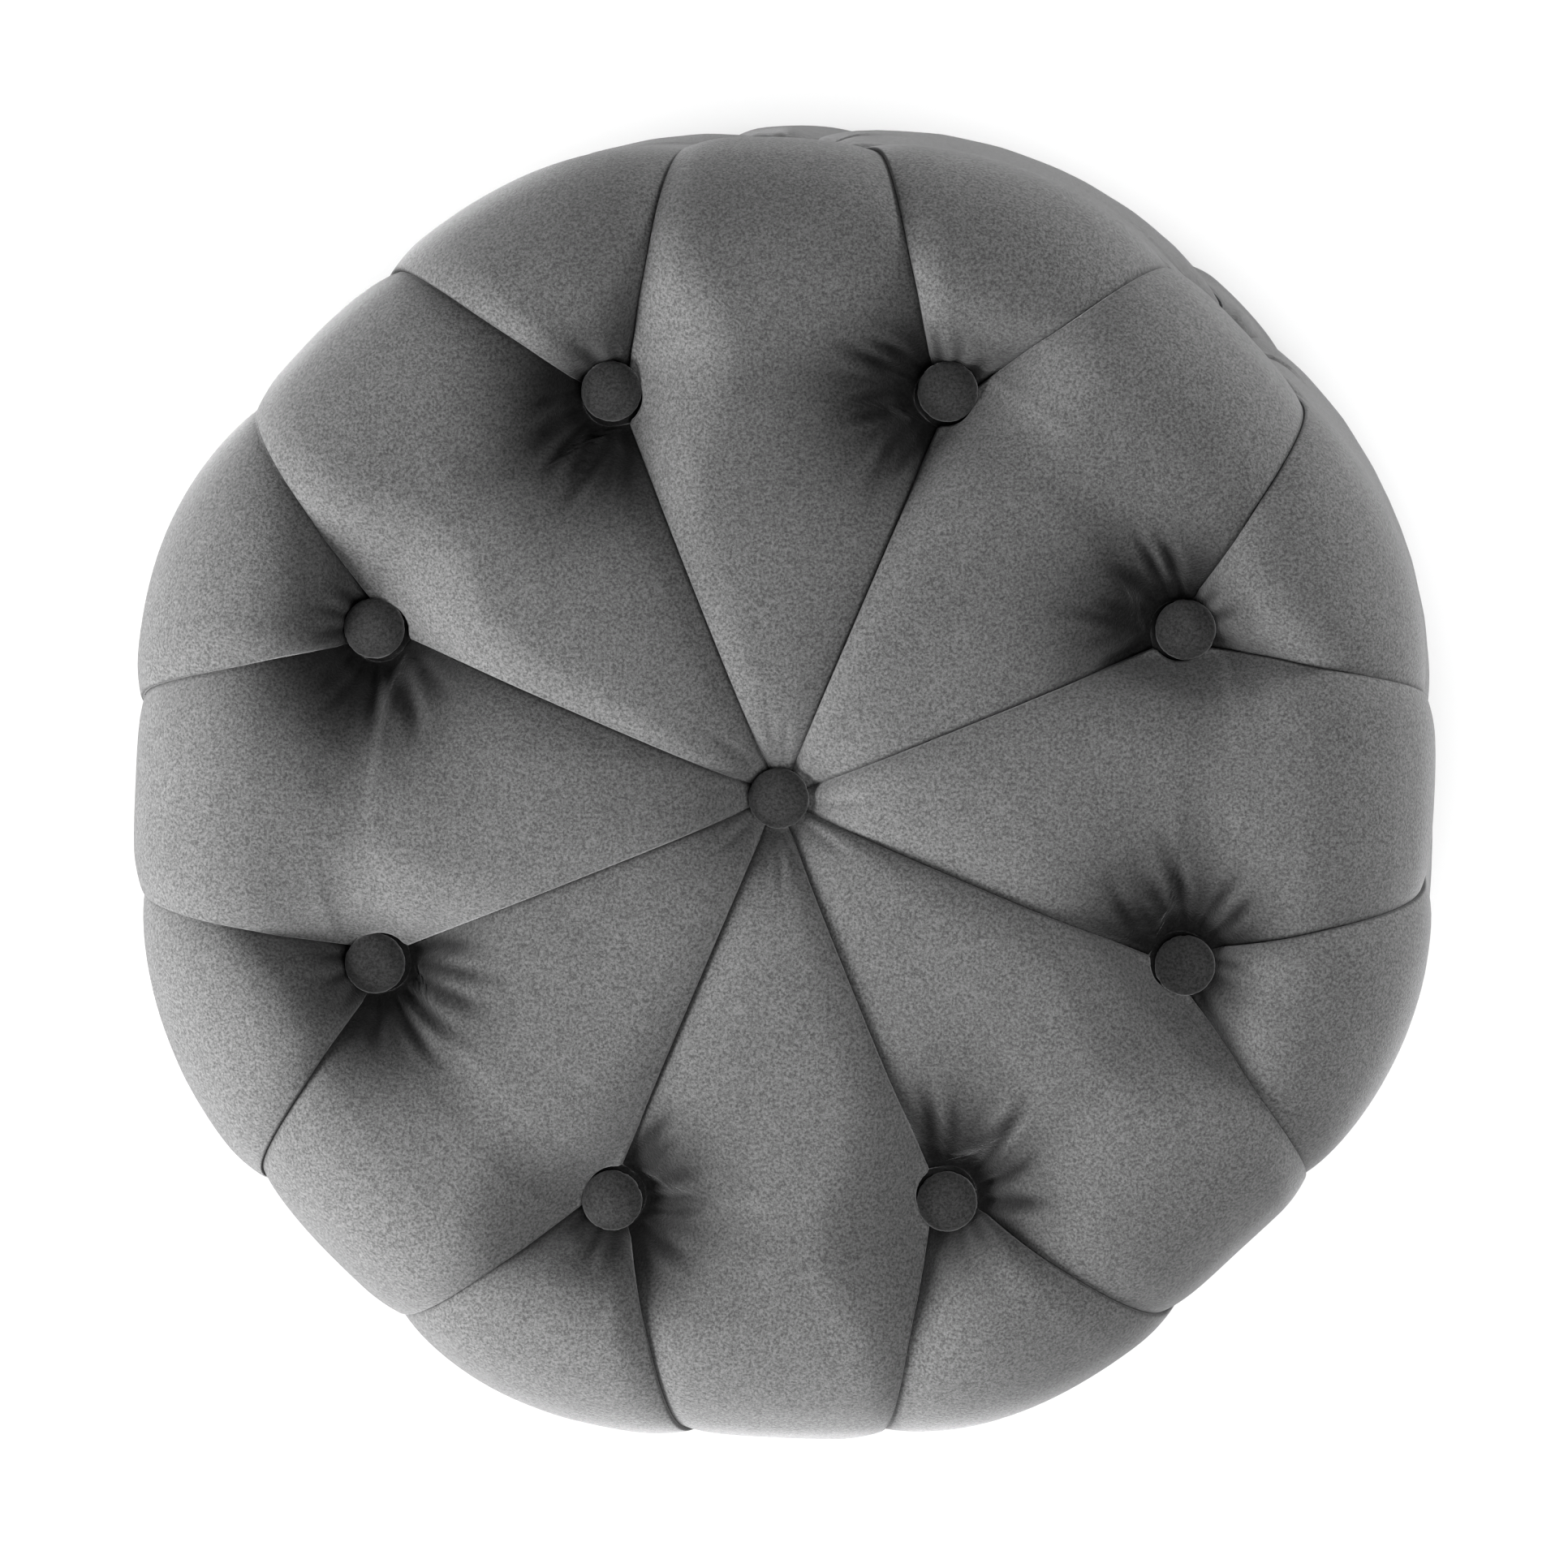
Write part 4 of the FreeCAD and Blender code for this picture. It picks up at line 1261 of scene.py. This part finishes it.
under_roll = 2.0
under_radius = under_high[0]
under_bottom = under_low[2]
under_profile = np.concatenate(
    [
        line_run((under_radius, board_low[2] - 0.3), (under_radius, under_bottom + 2.2), 10),
        arc_run((under_radius - under_roll, under_bottom + under_roll), under_roll, 0.0, -math.pi / 2, 8),
        line_run((under_radius - 3.0, under_bottom), (HOLE, under_bottom), 60),
    ]
)
under_ripple = band_ripple(lining_random, 8, 9, 44, 0.5, 0.2, 0.3, 0.32, 0.75)
under_rings = sheet_rings(under_profile, 360, under_ripple, LINING_THICKNESS)
under_lining = place_solid("lid_under_lining", under_rings, "lid", "lining_cloth", "lid_lining")
declare_disc(under_profile)

dust_profile = line_run((dust_high[0], dust_low[2]), (HOLE, dust_low[2]), 60)
dust_ripple = band_ripple(lining_random, 8, 9, 36, 0.3, 0.02, 0.1, 0.2, 0.6)
dust_rings = sheet_rings(dust_profile, 360, dust_ripple, 0.45)
dust_cloth = place_solid("dust_cloth_sheet", dust_rings, "drum", "dust_cloth", "dust_cover")
declare_disc(dust_profile)


# ---- floor, light and camera


def floor():
    half = 20.0
    mesh = bpy.data.meshes.new("floor")
    corners = [(-half, -half, 0), (half, -half, 0), (half, half, 0), (-half, half, 0)]
    mesh.from_pydata(corners, [], [(0, 1, 2, 3)])
    piece = bpy.data.objects.new("floor", mesh)
    bpy.context.scene.collection.objects.link(piece)
    finish = Finish("floor_pale", 0.9)
    shades = finish.ramp(finish.noise(3.0), (0.0, grey(0.95)), (1.0, grey(0.97)))
    mesh.materials.append(finish.done(shades))


# Each light's azimuth, elevation, distance, size and power. All but the wash light the ottoman
# alone, so that it throws no hard shadow on the floor, and the wash lights the floor alone.
LIGHTS = {
    "key": (203.0, 18.0, 3.0, 1.5, 425.0),
    "top": (318.0, 62.0, 1.1, 0.7, 13.0),
    "edge": (42.0, 1.5, 3.0, 0.8, 130.0),
    "wash": (0.0, 90.0, 6.7, 16.0, 1950.0),
}
LIGHT_TARGET = Vector((0.0, 0.0, 0.3))


def area_light(name, receivers):
    azimuth, elevation, distance, size, power = LIGHTS[name]
    lamp = bpy.data.lights.new(name, "AREA")
    lamp.shape = "SQUARE"
    lamp.size = size
    lamp.energy = power
    piece = bpy.data.objects.new(name, lamp)
    bpy.context.scene.collection.objects.link(piece)
    turn, rise = math.radians(azimuth), math.radians(elevation)
    way = Vector((math.cos(rise) * math.cos(turn), math.cos(rise) * math.sin(turn), math.sin(rise)))
    piece.location = LIGHT_TARGET + way * distance
    piece.rotation_euler = way.to_track_quat("Z", "Y").to_euler()
    piece.light_linking.receiver_collection = receivers


def sky():
    """A sky that is brighter near the horizon than overhead, as inside a light tent."""
    world = bpy.data.worlds.new("studio")
    world.use_nodes = True
    nodes, links = world.node_tree.nodes, world.node_tree.links
    way = nodes.new("ShaderNodeTexCoord")
    split = nodes.new("ShaderNodeSeparateXYZ")
    height = nodes.new("ShaderNodeValToRGB")
    height.color_ramp.interpolation = "EASE"
    height.color_ramp.elements[0].color = (*grey(1.0), 1.0)
    height.color_ramp.elements[1].color = (*grey(0.14), 1.0)
    height.color_ramp.elements[1].position = 0.6
    links.new(way.outputs["Generated"], split.inputs[0])
    links.new(split.outputs["Z"], height.inputs["Fac"])
    links.new(height.outputs["Color"], nodes["Background"].inputs["Color"])
    nodes["Background"].inputs["Strength"].default_value = 0.9
    bpy.context.scene.world = world


def studio():
    lit = bpy.data.collections.new("lit")
    stage = bpy.data.collections.new("stage")
    for piece in bpy.context.scene.objects:
        if piece.type == "MESH":
            group = stage if piece.name == "floor" else lit
            group.objects.link(piece)
    for name in LIGHTS:
        area_light(name, stage if name == "wash" else lit)


def camera():
    """Nearly straight above, as in the photograph, and a little to the upper right."""
    distance = 5.6
    tilt = math.radians(4.0)
    toward = math.radians(60.0)
    middle = Vector((0.0005, 0.003, 0.352))
    frame_width = 0.662
    data = bpy.data.cameras.new("camera")
    data.sensor_width = 36.0
    data.lens = data.sensor_width * distance / frame_width
    data.clip_end = 50.0
    piece = bpy.data.objects.new("camera", data)
    bpy.context.scene.collection.objects.link(piece)
    back = Vector((math.sin(tilt) * math.cos(toward), math.sin(tilt) * math.sin(toward), math.cos(tilt)))
    right = Vector((0.0, 1.0, 0.0)).cross(back).normalized()
    up = back.cross(right)
    piece.location = middle + back * distance
    piece.rotation_euler = Matrix((right, up, back)).transposed().to_euler()
    bpy.context.scene.camera = piece


floor()
sky()
studio()
camera()
bpy.context.scene.view_settings.view_transform = "Standard"
